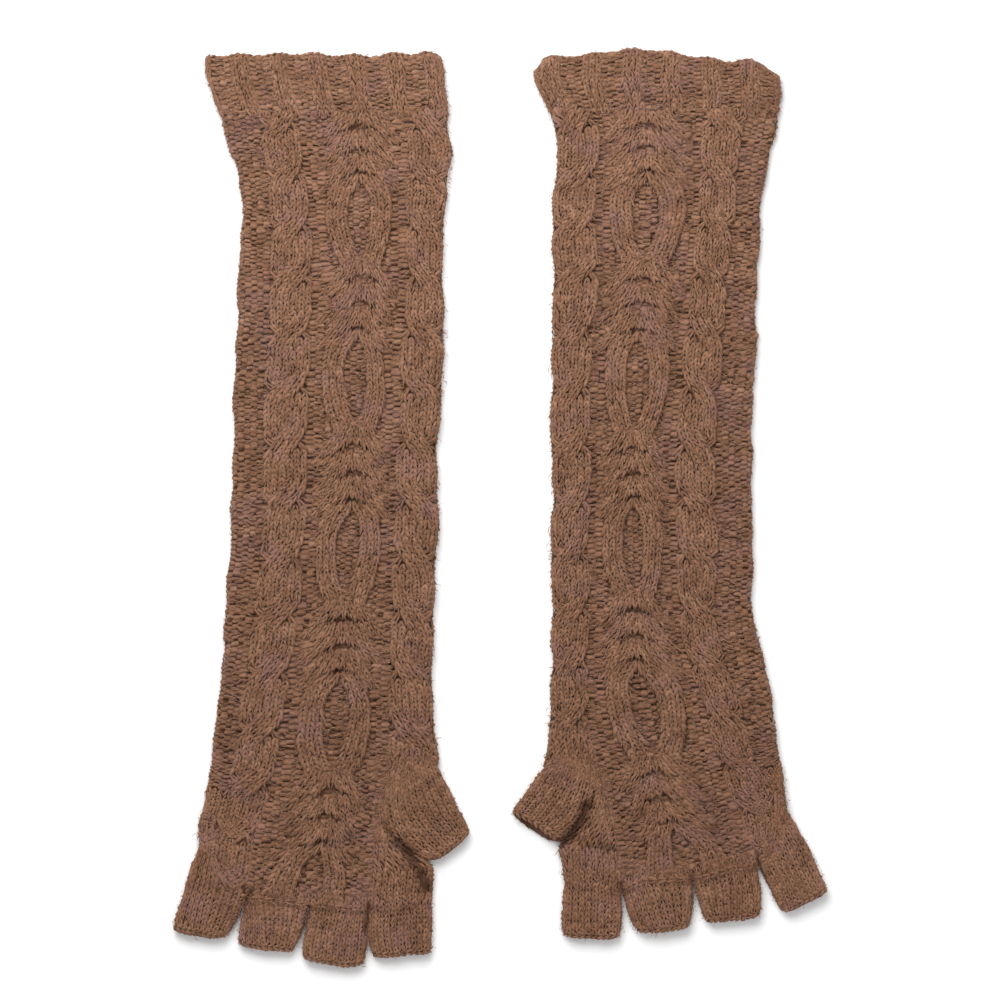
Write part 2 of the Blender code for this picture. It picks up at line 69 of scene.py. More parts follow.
# Each row of an arm: y, then x of the little finger's fold, the outer rope's two sides, the
# staghorn's outer side, centre and inner side, the inner rope's near side and the thumb's fold
gloves = {
    "right": {
        "arm": (
            (161.4, -114.8, -99.5, -82.5, -73.5, -57.5, -42.0, -37.0, -20.5),
            (146.5, -110.5, -97.0, -81.0, -72.0, -57.5, -42.5, -37.5, -19.5),
            (134.5, -106.5, -94.5, -78.5, -71.5, -57.0, -44.0, -38.5, -21.0),
            (118.0, -105.0, -94.0, -77.0, -71.0, -57.0, -44.0, -38.5, -22.0),
            (93.5, -107.0, -94.0, -76.5, -70.5, -56.5, -44.0, -38.0, -22.5),
            (60.5, -108.0, -95.5, -77.0, -73.0, -58.0, -46.5, -40.5, -22.5),
            (27.5, -109.0, -97.0, -78.5, -73.5, -59.0, -46.5, -41.5, -24.5),
            (-5.0, -110.0, -97.0, -79.0, -74.5, -61.0, -47.5, -43.0, -25.0),
            (-38.0, -111.5, -100.0, -81.5, -77.0, -63.5, -49.5, -44.5, -26.0),
            (-62.5, -113.5, -103.5, -85.0, -80.0, -65.0, -51.0, -45.0, -27.0),
            (-83.0, -115.5, -106.0, -88.0, -82.5, -66.0, -52.0, -45.5, -27.0),
            (-103.5, -117.5, -108.5, -91.0, -85.0, -68.0, -53.5, -46.5, -25.0),
            (-120.0, -119.5, -112.5, -95.0, -87.5, -69.5, -56.5, -49.5, -27.0),
            (-133.0, -120.5, -115.0, -99.0, -88.0, -72.0, -60.5, -51.5, -27.5),
            (-145.5, -122.0, -116.5, -102.0, -91.0, -75.5, -62.5, -53.0, -27.5),
            (-161.0, -123.0, -117.5, -103.5, -99.0, -77.0, -63.0, -53.5, -27.7)),
        "courses": (161.5, 155.5, 93.5, 24.5, -46.0, -116.5, -161.5),
        "fingerLine": (-138.8, -144.5, -160.0, -159.3, -161.7, -163.0, -163.4, -161.0),
        "fanStart": -103.5,
        "thumb": ((-24.3, -107.8), (-45.3, -120.2), (-11.1, -132.8), (-28.4, -145.9)),
        "thumbBulge": 4.6, "thumbSetback": 0.0,
        "fingers": {"little": (0, 2, (-134.4, -173.0), (-111.9, -176.3)),
                    "ring": (2, 4, (-106.8, -178.6), (-84.5, -182.6)),
                    "middle": (4, 6, (-80.9, -185.2), (-55.6, -187.2)),
                    "index": (6, 7, (-52.7, -184.3), (-27.5, -182.3))},
        "cuff": ((161.7, -114.8, -20.5), (169.5, -117.7, -21.6), (177.0, -119.7, -22.5),
                 (186.0, -119.9, -24.2)),
        "cuffTop": ((0.0, 184.4), (0.04, 185.6), (0.17, 186.0), (0.5, 185.5), (0.93, 186.0),
                    (1.0, 184.8)),
        "firstRib": 0.144},
    "left": {
        "arm": (
            (162.3, 114.3, 102.0, 83.5, 76.5, 60.5, 45.0, 40.0, 20.3),
            (146.5, 111.5, 99.0, 82.5, 76.5, 60.5, 46.0, 41.5, 23.3),
            (126.0, 107.5, 97.0, 81.5, 77.0, 60.0, 45.0, 40.0, 22.0),
            (93.5, 106.0, 94.0, 79.0, 74.0, 59.0, 44.5, 40.5, 21.7),
            (56.5, 104.5, 91.0, 74.5, 70.0, 56.5, 43.0, 38.0, 21.2),
            (23.5, 103.7, 89.0, 72.5, 67.5, 55.5, 42.0, 37.5, 21.2),
            (-5.0, 103.7, 89.5, 72.0, 67.0, 55.0, 42.5, 37.5, 21.2),
            (-38.0, 103.7, 89.0, 73.5, 69.0, 55.5, 42.0, 37.5, 21.3),
            (-58.5, 107.5, 91.5, 76.0, 71.5, 56.5, 41.5, 36.5, 21.3),
            (-79.0, 111.5, 98.5, 83.5, 76.5, 59.0, 43.5, 37.0, 20.5),
            (-95.0, 114.0, 102.5, 86.5, 78.5, 62.0, 46.5, 38.0, 20.2),
            (-105.5, 115.2, 105.0, 90.0, 80.5, 64.0, 49.0, 41.5, 19.0),
            (-114.0, 115.8, 107.5, 92.0, 82.5, 65.5, 50.5, 44.0, 20.0),
            (-131.0, 116.8, 113.0, 98.5, 86.5, 71.5, 58.0, 48.0, 23.0),
            (-144.5, 117.0, 113.0, 103.5, 92.0, 76.5, 60.0, 50.5, 25.0),
            (-153.0, 117.3, 112.0, 106.0, 95.5, 78.5, 60.0, 50.5, 26.8)),
        "courses": (162.5, 156.5, 94.0, 23.5, -43.0, -109.5, -153.5),
        "fingerLine": (-122.8, -133.0, -145.3, -147.0, -151.9, -152.0, -155.6, -153.0),
        "fanStart": -95.0,
        "thumb": ((18.9, -106.2), (39.8, -114.2), (4.6, -125.3), (24.0, -138.4)),
        "thumbBulge": 3.4, "thumbSetback": 1.7,
        "fingers": {"little": (0, 2, (135.3, -157.2), (115.8, -166.2)),
                    "ring": (2, 4, (107.2, -167.2), (84.7, -169.8)),
                    "middle": (4, 6, (78.9, -171.4), (55.8, -174.4)),
                    "index": (6, 7, (49.4, -175.9), (26.2, -175.2))},
        "cuff": ((162.6, 114.3, 20.3), (169.5, 115.3, 17.4), (177.0, 115.6, 14.9),
                 (186.0, 115.0, 15.2)),
        "cuffTop": ((0.0, 176.8), (0.06, 181.2), (0.12, 183.1), (0.2, 183.6), (0.33, 185.1),
                    (0.57, 187.2), (0.71, 187.5), (0.84, 185.5), (0.96, 184.0), (1.0, 180.2)),
        "firstRib": 0.121}}
ribPitch, ribScallop, ribRelief = 0.163, 0.7, 0.9
# the arms' edges swell between the ropes' crossings, and the thumbs stand clear of the hands
edges = {"outerSwell": 0.35, "innerSwell": 0.7, "fade": 30, "thumbSeam": 0.5, "thumbGap": 1.0}

# The tables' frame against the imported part's: their place for the low corner of the right arm
tableCorner = (-123.0, -163.4)
shift = np.array([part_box("right_arm")[0][i] / mm - tableCorner[i] for i in (0, 1)] + [0.0])


def smoothLine(at, xs, ys):
    # a smooth line through points that never overshoots them
    xs, ys = np.asarray(xs, float), np.asarray(ys, float)
    step = np.diff(xs)
    rise = np.diff(ys) / step
    both = rise[:-1] * rise[1:]
    total = np.where(both > 0, rise[:-1] + rise[1:], 1.0)
    slope = np.concatenate((rise[:1], np.where(both > 0, 2 * both / total, 0.0), rise[-1:]))
    i = np.clip(np.searchsorted(xs, at) - 1, 0, len(step) - 1)
    t = np.clip((at - xs[i]) / step[i], 0, 1)
    return ((1 + 2 * t) * (1 - t) ** 2 * ys[i] + t * (1 - t) ** 2 * step[i] * slope[i]
            + t * t * (3 - 2 * t) * ys[i + 1] - t * t * (1 - t) * step[i] * slope[i + 1])


def smoothStep(x, start, end):
    t = np.clip((x - start) / (end - start), 0, 1)
    return t * t * (3 - 2 * t)


def ridge(distance, width):
    return np.sqrt(np.clip(1 - (distance / width) ** 2, 0, None))


def ropeShare(course):
    # which crossing is nearest, and how far over it the strands are
    number = np.round((course - chart["ropeFirst"]) / chart["ropeStep"])
    middle = chart["ropeFirst"] + chart["ropeStep"] * number
    return number, smoothStep(course, middle - chart["ropeSpan"], middle + chart["ropeSpan"])


def ropeHeight(wale, course):
    number, share = ropeShare(course)
    front, crossed = 1.5 - 3 * share, 4 * share * (1 - share)
    return np.maximum((1 + 0.15 * crossed) * ridge(wale - front, chart["strandHalf"]),
                      (1 - 0.8 * crossed) * ridge(wale + front, chart["strandHalf"]))


def staghornHeight(wale, course):
    phase = (course - chart["firstPeak"] + chart["peakStep"]) % chart["repeat"] - chart["peakStep"]
    height = np.zeros(np.shape(phase + wale))
    length = chart["above"] + chart["below"]
    for peak in (0, chart["peakStep"], 2 * chart["peakStep"], chart["repeat"]):
        start = peak - chart["above"]
        t = np.clip((phase - start) / length, 0, 1)
        distance = np.hypot((wale - chart["start"] - chart["run"] * t) * chart["legWale"],
                            (phase - start - length * t) * chart["legCourse"])
        rise = ridge(distance, chart["strandHalf"] * chart["legWale"])
        height = np.maximum(height, chart["legRelief"] * rise)
    below = phase - 2 * chart["peakStep"]
    centre = np.interp(below, [row[0] for row in oval], [row[1] for row in oval])
    inside = (below >= oval[0][0]) & (below <= oval[-1][0])
    height = np.where(inside, np.maximum(height, ridge(wale - centre, chart["strandHalf"])), height)
    # some slits are deeper than others
    stack = np.floor((course - chart["firstPeak"] + chart["peakStep"]) / chart["repeat"])
    for number in range(3):
        share = slits["depth"] + slits["change"] * np.cos(2.1 * stack + 1.7 * number)
        apart = (phase - number * chart["peakStep"] + 0.1) / slits["courses"]
        height = height * (1 - share * np.exp(-apart ** 2 - (wale / slits["wales"]) ** 2))
    return height


def fingerPoint(corners, across, along, bulge=0.0):
    # a point of a finger or thumb between its base corners and its tip corners
    baseOut, baseIn, tipOut, tipIn = [np.array(corner) for corner in corners]
    across, along = np.asarray(across, float)[..., None], np.asarray(along, float)[..., None]
    base, tip = baseOut + across * (baseIn - baseOut), tipOut + across * (tipIn - tipOut)
    outwards = (baseIn - baseOut) / np.linalg.norm(baseIn - baseOut)
    return base + along * (tip - base) + outwards * bulge * across * 4 * along * (1 - along)


def foldDistance(arc, total):
    # distance in plan from the first fold, for a length measured round the cloth from mid fold
    radius, quarter = cloth["foldRadius"], cloth["foldArc"]

    def distance(length):
        bent = radius * (1 - np.cos(np.clip(length, 0, quarter) / quarter * np.pi / 2))
        return np.where(length < quarter, bent, radius + length - quarter)

    width = total - 2 * quarter + 2 * radius
    return np.where(arc < total / 2, distance(arc), width - distance(total - arc))


def arcLength(width):
    return width - 2 * cloth["foldRadius"] + 2 * cloth["foldArc"]


# Creases by the thumbs and between the fingers' roots: depth, half width and middle line of each
creases = (
    (1.6, 1.6, ((-47.2, -129.5), (-44.6, -133.5), (-41.3, -137.4))),
    (4.2, 2.0, ((-41.3, -137.4), (-36.6, -142.0), (-33.6, -147.3), (-31.2, -152.4), (-30.0, -156.0))),
    (3.8, 2.0, ((36.3, -122.0), (33.2, -128.8), (30.2, -133.7), (27.5, -136.7), (23.5, -139.5))),
    (1.4, 1.5, ((30.2, -133.7), (33.2, -136.5), (38.7, -139.2), (46.9, -140.0))),
    (2.2, 1.1, ((-101.6, -157.4), (-105.4, -167.0))), (2.2, 1.1, ((-77.9, -164.4), (-81.1, -175.9))),
    (2.2, 1.1, ((-53.1, -163.8), (-55.0, -174.6))), (2.2, 1.1, ((50.6, -154.5), (51.3, -160.6))),
    (2.2, 1.1, ((79.3, -152.3), (80.2, -160.6))), (2.2, 1.1, ((106.1, -144.0), (109.3, -154.2))))
# how low a crease may go, and how much of its yarn's depth goes below that
creaseFloor = {"tube": (1.7, 0.6), "gusset": (1.2, 0.3)}


def creaseDepth(x, y):
    depth = 0 * x
    for deepest, wide, line in creases:
        for (x0, y0), (x1, y1) in zip(line[:-1], line[1:]):
            square = (x1 - x0) ** 2 + (y1 - y0) ** 2
            t = np.clip(((x - x0) * (x1 - x0) + (y - y0) * (y1 - y0)) / square, 0, 1)
            away = np.hypot(x - x0 - t * (x1 - x0), y - y0 - t * (y1 - y0))
            depth = np.maximum(depth, deepest * np.exp(-(away / wide) ** 2))
    return depth


def pair(u, v):
    return np.broadcast_arrays(np.asarray(u, float), np.asarray(v, float))


class Tube:
    # a flattened knitted tube: plan(u, v) gives its cloth's x and y, first and last its folds

    def skin(self, at, v, lift=0.0, depth=0.0, palm=False):
        # the point of the upper or under surface over a place in plan, depth below its skin
        start, end = self.plan(self.first, v), self.plan(self.last, v)
        span = end - start
        width = np.linalg.norm(span, axis=-1)
        inward = span / width[..., None]
        along = np.sum((at - start) * inward, axis=-1)
        kept = np.clip(along, 0, width)
        near = np.minimum(kept, width - kept)
        share = np.sqrt(1 - (1 - np.clip(near / cloth["foldRadius"], 0, 1)) ** 2)
        turn = np.where(kept < width / 2, 1.0, -1.0)
        move = kept - along + turn * depth * (1 - share)
        at = at + inward * move[..., None]
        z = half - share * (half - depth) if palm else half + share * (half + lift - depth)
        # old knitting never lies quite straight or flat
        x, y = at[..., 0], at[..., 1]
        size = cloth["wobble"]
        across = np.sin(y / 9.1 + 0.8 * np.sin(x / 13.0)) * np.sin(x / 17.0 + y / 41.0)
        across = across + 0.6 * np.sin(y / 3.7 + x / 6.1) * np.sin(x / 5.3 - y / 8.9)
        down = np.sin(x / 7.7 + y / 31.0) * np.cos(y / 15.0)
        down = down + 0.7 * np.sin(x / 4.1 + y / 7.9) * np.cos(y / 5.9 - x / 9.7)
        if not palm:
            z = z + 0.5 * size * share * np.sin(x / 6.7 - y / 11.0) * np.sin(y / 5.1 + x / 19.0)
            lowest = creaseFloor["tube"][0] - creaseFloor["tube"][1] * depth
            z = np.maximum(z - share * creaseDepth(x, y), np.minimum(z, lowest))
        return np.stack((x + size * across, y + size * down, z), axis=-1)

    def point(self, u, v, depth=0.0, palm=False):
        u, v = pair(u, v)
        return self.skin(self.plan(u, v), v, self.lift(u, v), depth, palm)


class Arm(Tube):
    first, last = 0.0, 7.0

    def __init__(self, glove):
        self.glove = glove
        self.rows = np.array(glove["arm"])[::-1]
        self.end = glove["arm"][-1][0]
        self.turn = np.sign(glove["arm"][0][8] - glove["arm"][0][1])
        ends = np.array([self.line(i, np.array([self.end]))[0] for i in range(8)])
        self.endShares = (ends - ends[0]) / (ends[7] - ends[0])

    def height(self, course):
        beyond = course - np.clip(course, 0, chartKnots[-1])
        return np.interp(course, chartKnots, self.glove["courses"]) - beyond * cloth["course"]

    def thumbCorners(self):
        baseOut, baseIn, tipOut, tipIn = [np.array(corner) for corner in self.glove["thumb"]]
        along = (tipOut + tipIn) / 2 - (baseOut + baseIn) / 2
        off = along / np.linalg.norm(along) * edges["thumbSeam"]
        return baseOut + off, baseIn + off, tipOut, tipIn

    def line(self, index, y):
        # x of one of the eight lines of the layout
        x = smoothLine(y, self.rows[:, 0], self.rows[:, index + 1])
        course = np.interp(-y, [-value for value in self.glove["courses"]], chartKnots)
        if index == 0:
            wave = np.cos(2 * np.pi * (course - 5) / chart["ropeStep"])
            return x - self.turn * edges["outerSwell"] * wave * smoothStep(y, self.glove["fanStart"], 0)
        if index < 7:
            return x
        baseOut, baseIn, tipOut, tipIn = self.glove["thumb"]
        wave = 0.5 + 0.5 * np.cos(2 * np.pi * (course - chart["ropeFirst"]) / chart["ropeStep"])
        faded = smoothStep(y, baseOut[1], baseOut[1] + edges["fade"])
        x = x - self.turn * edges["innerSwell"] * wave * faded
        side = fingerPoint(self.thumbCorners(), 1.0, np.linspace(0, 1, 13), self.glove["thumbBulge"])
        beside = np.interp(-y, -side[:, 1], side[:, 0]) - self.turn * edges["thumbGap"]
        seam = np.interp(-y, (-baseOut[1], -baseIn[1]), (baseOut[0], baseIn[0]))
        x = np.where((y < baseIn[1]) & (y >= tipIn[1] - 0.5), beside, x)
        return np.where((y <= baseOut[1]) & (y >= baseIn[1]), seam, x)

    def fanned(self, y, spots, u):
        # towards the fingers a course bends into the line of their roots
        fan = np.clip((self.glove["fanStart"] - y) / (self.glove["fanStart"] - self.end), 0, 1)
        return y + (np.interp(u, spots, self.glove["fingerLine"]) - self.end) * fan

    def plan(self, u, v):
        u, v = pair(u, v)
        y = self.height(v)
        lines = np.stack([self.line(i, y) for i in range(8)])
        index = np.clip(u.astype(int), 0, 6)
        low = np.take_along_axis(lines, index[None], 0)[0]
        high = np.take_along_axis(lines, index[None] + 1, 0)[0]
        return np.stack((low + (u - index) * (high - low), self.fanned(y, range(8), u)), axis=-1)

    def lift(self, u, v):
        outerEnd, innerEnd, end = chart["outerRopeEnd"], chart["innerRopeEnd"], chart["staghornEnd"]
        outer = ropeHeight((u - 1.5) * 6, v) * (1 - smoothStep(v, outerEnd - 8, outerEnd))
        inner = ropeHeight((6.5 - u) * 6, v) * (1 - smoothStep(v, innerEnd - 8, innerEnd))
        middle = staghornHeight(abs(u - 4) * 6, v) * (1 - smoothStep(v, end, end + 6))
        return cloth["cableRelief"] * np.where(u <= 2, outer, np.where(u >= 6, inner, middle))


class ArmPalm(Arm):
    # the same tube with its wales spread evenly from fold to fold
    first, last = 0.0, 1.0

    def plan(self, u, v):
        u, v = pair(u, v)
        y = self.height(v)
        low, high = self.line(0, y), self.line(7, y)
        return np.stack((low + u * (high - low), self.fanned(y, self.endShares, u)), axis=-1)

    def lift(self, u, v):
        return 0.0 * u * v


class Cuff(Tube):
    first, last = 0.0, 1.0

    def __init__(self, glove, width):
        self.glove, self.width = glove, width
        self.sections = np.array(glove["cuff"])

    def rib(self, u):
        return np.cos(2 * np.pi * (u - self.glove["firstRib"]) / ribPitch)

    def plan(self, u, v):
        u, v = pair(u, v)
        shares, tops = np.array(self.glove["cuffTop"]).T
        top = np.interp(u, shares, tops) + ribScallop * self.rib(u)
        bottom = self.sections[0][0]
        y = bottom + v * (top - bottom)
        low = smoothLine(y, self.sections[:, 0], self.sections[:, 1])
        high = smoothLine(y, self.sections[:, 0], self.sections[:, 2])
        return np.stack((low + u * (high - low), y), axis=-1)

    def lift(self, u, v):
        return ribRelief * np.clip(0.5 + 0.9 * self.rib(u), 0, 1) * (1 - 0.5 * smoothStep(v, 0.85, 1.0))


# Fingers and thumbs. Their sides swell, their mouths narrow and have round corners, a raised edge
# stands round the mouth, and the root lies in a hollow. Only fingers have a hollow and a swell.
fingerForm = {"swell": 0.05, "narrowing": 0.035, "reach": 1.04, "fingerCorner": 0.065,
              "thumbCorner": 0.06, "rim": 0.5, "rimAt": 0.93, "rimHalf": 0.12, "hollow": 0.65,
              "hollowAt": 0.1, "hollowHalf": 0.09}


class Finger(Tube):
    first, last = 0.0, 1.0

    def __init__(self, corners, bulge=0.0, setback=0.0, baseLine=None):
        self.corners, self.bulge, self.setback, self.baseLine = corners, bulge, setback, baseLine
        out, inner = (np.array(corners[i + 2]) - corners[i] for i in (0, 1))
        self.length = np.linalg.norm((out + inner) / 2)
        self.width = np.linalg.norm((np.array(corners[3]) + corners[1] - corners[2] - corners[0]) / 2)

    def plan(self, u, v):
        u, v = pair(u, v)
        swell = (fingerForm["swell"] if self.baseLine else 0.0) * np.sin(np.pi * np.clip(v, 0, 1))
        swell = swell - fingerForm["narrowing"] * smoothStep(v, 0.8, 1.0)
        corner = fingerForm["fingerCorner" if self.baseLine else "thumbCorner"]
        along = v * (fingerForm["reach"] - corner * abs(2 * np.clip(u, 0, 1) - 1) ** 4)
        at = fingerPoint(self.corners, u + (u - 0.5) * swell, along, self.bulge)
        if self.baseLine:
            at = at + (self.baseLine(u) - fingerPoint(self.corners, u, 0.0)) * (1 - v)[..., None]
        return at

    def lift(self, u, v):
        hollow = (fingerForm["hollow"] if self.baseLine else 0.0) * np.exp(
            -((v - fingerForm["hollowAt"]) / fingerForm["hollowHalf"]) ** 2)
        rim = fingerForm["rim"] * ridge(v - fingerForm["rimAt"], fingerForm["rimHalf"]) * (v < 1)
        return rim - hollow

    def point(self, u, v, depth=0.0, palm=False):
        u, v = pair(u, v)
        if not palm:
            # the mouth's upper rim is drawn back where it gapes
            v = v - self.setback / self.length * 4 * u * (1 - u) * smoothStep(v, 0.5, 1.0)
        return self.skin(self.plan(u, v), v, self.lift(u, v), depth, palm)


class Gusset(Tube):
    # the flat cloth where a thumb grows out of the hand

    def __init__(self, tube):
        self.tube = tube

    def point(self, u, v, depth=0.0, palm=False):
        at = self.tube.plan(u, v)
        z = cloth["thickness"] + 0.3 - depth - creaseDepth(at[..., 0], at[..., 1])
        z = np.maximum(z, creaseFloor["gusset"][0] - creaseFloor["gusset"][1] * depth)
        return np.stack((at[..., 0], at[..., 1], z), axis=-1)


class Strand(Tube):
    # a cable's strand on an arm: path(run) gives its middle's place across and its course, a
    # counts wales from its middle and spread is how wide they are against the arm's own

    def __init__(self, arm, path, height, zone, spread=1.0):
        self.arm, self.path, self.height, self.zone, self.spread = arm, path, height, zone, spread

    def point(self, a, run, depth=0.0, palm=False):
        u, v = self.path(run)
        ahead = self.arm.plan(*self.path(run + 0.3)) - self.arm.plan(*self.path(run - 0.3))
        ahead = ahead / np.linalg.norm(ahead, axis=-1)[..., None]
        aside = np.stack((ahead[..., 1], -ahead[..., 0]), axis=-1)
        wide = np.linalg.norm(self.arm.plan(self.zone + 1, v) - self.arm.plan(self.zone, v), axis=-1)
        at = self.arm.plan(u, v) + aside * (a * self.spread * wide / 6)[..., None]
        lift = cloth["cableRelief"] * self.height(run) * (0.5 + 0.5 * ridge(a, 2.2))
        return self.arm.skin(at, v, lift, depth, palm)


class Rim(Tube):
    # the chain round a mouth: run is a share of the way round, a lies along the tube

    def __init__(self, tube, at, wide):
        self.tube, self.at, self.wide = tube, at, wide

    def point(self, a, run, depth=0.0, palm=False):
        total = arcLength(self.tube.width)
        u = foldDistance(np.clip(run, 0, 1) * total, total) / self.tube.width
        return self.tube.point(u, self.at + a * self.wide, depth, palm)


# Stitches. Each is one or two short lengths of yarn: its start, middle and end, the direction
# across it, and its half width and half height. Depths are in millimetres under the cloth's skin.
stitch = {"root": 0.03, "waist": 0.25, "tip": 0.5, "reach": 1.9, "halfWidth": 0.24, "halfHeight": 0.56,
          "rootDepth": 0.45, "waistDepth": 0.25, "tipDepth": 1.15}
bump = {"reach": 0.8, "bow": 0.33, "halfWidth": 0.55, "halfHeight": 0.66, "middleDepth": 0.1,
        "endDepth": 0.55, "sunk": 0.2, "pit": 0.8, "pits": 0.06}


def knit(batch, tube, u, step, v, sink=0.0, palm=False, course=1.0):
    # a V of two legs, opening towards the fingers
    u, step, v = [np.asarray(item, float) for item in np.broadcast_arrays(u, step, v)]
    if not u.size:
        return
    far, mid = v + stitch["reach"] * course, v + 0.5 * stitch["reach"] * course
    middles = [tube.point(u + side * stitch["waist"] * step, mid, stitch["waistDepth"] + sink, palm)
               for side in (-1, 1)]
    wide = np.linalg.norm(middles[1] - middles[0], axis=-1) / (2 * stitch["waist"])
    for side, middle in zip((-1, 1), middles):
        batch.append((
            tube.point(u + side * stitch["root"] * step, v, stitch["rootDepth"] + sink, palm), middle,
            tube.point(u + side * stitch["tip"] * step, far, stitch["tipDepth"] + sink, palm),
            middles[1] - middles[0], wide * stitch["halfWidth"], 0 * wide + stitch["halfHeight"]))


def purl(batch, tube, u, step, v, sink=0.0, palm=False, course=1.0, bow=1.0):
    # a bump that lies across the wale, bowed so that its ends go down into the cloth
    u, step, v = [np.asarray(item, float) for item in np.broadcast_arrays(u, step, v)]
    if not u.size:
        return
    bent = bump["bow"] * bow * course
    ends = [tube.point(u + side * bump["reach"] * step, v + 0.5 * course + 0.3 * bent,
                       bump["endDepth"] + sink, palm) for side in (-1, 1)]
    middle = tube.point(u, v + 0.5 * course - bent, bump["middleDepth"] + sink, palm)
    along = tube.point(u, v + course, 0.3 + sink, palm) - tube.point(u, v, 0.3 + sink, palm)
    tall = np.linalg.norm(along, axis=-1)
    batch.append((ends[0], middle, ends[1], along, tall * bump["halfWidth"],
                  0 * tall + bump["halfHeight"]))


# rows on the wrong side stand a little further apart, and their waves change step now and then
waveRow = 1.12
waveTurns = np.cumsum(random.random(200) < 0.15)


def seed(batch, tube, u, step, v, number, sink=0.0):
    # the cloth's wrong side: rows of yarn that wave up and down
    row = np.round(v / waveRow).astype(int)
    odd = (number + waveTurns[row]) % 2 == 0
    # here and there one is pulled in and leaves a pit
    sink = sink + bump["pit"] * (random.random(u.size) < bump["pits"])
    for chosen, deeper, bow in ((odd, 0.0, 1.0), (~odd, bump["sunk"], -1.0)):
        purl(batch, tube, u[chosen], step[chosen], v[chosen], sink[chosen] + deeper,
             course=waveRow, bow=bow)


def yarnShape(segments, rings):
    # one length of yarn: a round form with few faces, its poles at its ends
    shape = bmesh.new()
    bmesh.ops.create_uvsphere(shape, u_segments=segments, v_segments=rings, radius=1.0)
    corners = np.array([vertex.co for vertex in shape.verts])
    faces = [[vertex.index for vertex in face.verts] for face in shape.faces]
    shape.free()
    return corners, faces


def unit(vectors):
    return vectors / np.maximum(np.linalg.norm(vectors, axis=-1), 1e-9)[..., None]


def joinBatch(batch):
    return [np.concatenate([item[i] for item in batch]) for i in range(6)]


def addObject(name, data):
    item = bpy.data.objects.new(name, data)
    bpy.context.scene.collection.objects.link(item)
    return item


# how much one length of yarn differs from the next: share of its size, and mm of its place; then how much
# painted shade darkens a stitch's tone in a crease
uneven = {"size": 0.26, "place": 0.17, "creaseShade": 0.75}


def yarnMesh(name, batch, shape, material, jitter=uneven["place"]):
    # every length of yarn in the batch, bent along its three points, as one joined mesh
    start, middle, end, across, halfWidth, halfHeight = joinBatch(batch)
    count = len(start)
    size = 1 + uneven["size"] * random.standard_normal(count).clip(-2, 2)
    middle = middle + jitter * random.standard_normal((count, 3))
    end = end + 1.6 * jitter * random.standard_normal((count, 3)) * (1, 1, 0.4)
    along = unit(end - start)
    normal = unit(np.cross(along, across))
    aside = np.cross(normal, along)
    control = 2 * middle - (start + end) / 2
    corners, faces = shape
    t = ((corners[:, 2] + 1) / 2)[None, :, None]
    body = (1 - t) ** 2 * start[:, None] + 2 * t * (1 - t) * control[:, None] + t * t * end[:, None]
    body = body + aside[:, None] * (corners[:, 0][None] * (halfWidth * size)[:, None])[..., None]
    body = body + normal[:, None] * (corners[:, 1][None] * (halfHeight * size)[:, None])[..., None]
    body[..., 2] = np.maximum(body[..., 2], cloth["yarnFloor"])
    number = len(corners)
    loops = np.concatenate(faces)
    starts = np.cumsum([0] + [len(face) for face in faces[:-1]])
    data = bpy.data.meshes.new(name)
    data.vertices.add(count * number)
    data.vertices.foreach_set("co", ((body.reshape(-1, 3) + shift) * mm).ravel())
    data.loops.add(count * len(loops))
    data.loops.foreach_set("vertex_index", (np.arange(count)[:, None] * number + loops).ravel())
    data.polygons.add(count * len(faces))
    data.polygons.foreach_set("loop_start", (np.arange(count)[:, None] * len(loops) + starts).ravel())
    data.update(calc_edges=True)
    data.shade_smooth()
    # tone differs from stitch to stitch at random, and is lowered as painted shade where a raised stitch lies
    # over a crease; yarn gives a place along and across the yarn in mm
    length = np.linalg.norm(end - start, axis=-1)[:, None] * corners[:, 2][None] / 2
    length = length + (random.random(count) * 40)[:, None]
    place = np.stack((length, halfWidth[:, None] * corners[:, 0],
                      halfHeight[:, None] * corners[:, 1]), axis=-1)
    # painted shade: stitches over a crease get a darker tone, standing in for the shade inside the fold
    creaseShade = creaseDepth(middle[:, 0], middle[:, 1]) * (middle[:, 2] > 0.8)
    tonesWithCreaseShade = random.random(count) - uneven["creaseShade"] * creaseShade
    data.attributes.new("toneWithCreaseShade", "FLOAT", "POINT").data.foreach_set("value", np.repeat(tonesWithCreaseShade, number))
    data.attributes.new("yarn", "FLOAT_VECTOR", "POINT").data.foreach_set("vector", place.ravel())
    data.materials.append(material)
    piece = addObject(name, data)
    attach(piece, "root")
    print(name, count, "lengths of yarn,", sum(len(face) - 2 for face in faces) * count, "triangles")
    return piece


def shellMesh(name, around, along, place, material, slot, node):
    # the cloth under the stitches: a grid rolled into a tube, then given its wall
    roll = bmesh.new()
    bmesh.ops.create_grid(roll, x_segments=around, y_segments=along, size=0.5)
    s = np.array([vertex.co.x + 0.5 for vertex in roll.verts])
    t = np.array([vertex.co.y + 0.5 for vertex in roll.verts])
    for vertex, at in zip(roll.verts, (place(s, t) + shift) * mm):
        vertex.co = at
    bmesh.ops.remove_doubles(roll, verts=roll.verts, dist=0.02 * mm)
    bmesh.ops.recalc_face_normals(roll, faces=roll.faces)
    inner = bmesh.ops.extrude_face_region(roll, geom=roll.faces, use_keep_orig=True)["geom"]
    for vertex in [item for item in inner if isinstance(item, bmesh.types.BMVert)]:
        vertex.co -= vertex.normal * cloth["shellWall"] * mm
    for vertex in roll.verts:
        vertex.co.z = max(vertex.co.z, cloth["shellFloor"] * mm)
    bmesh.ops.recalc_face_normals(roll, faces=roll.faces)
    data = bpy.data.meshes.new(name)
    roll.to_mesh(data)
    roll.free()
    data.shade_smooth()
    data.materials.append(material)
    piece = addObject(name, data)
    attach(piece, "root")
    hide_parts(node)
    return piece


def linear(hexColour):
    parts = [int(hexColour[i:i + 2], 16) / 255 for i in (1, 3, 5)]
    return [part / 12.92 if part <= 0.04045 else ((part + 0.055) / 1.055) ** 2.4 for part in parts] + [1]


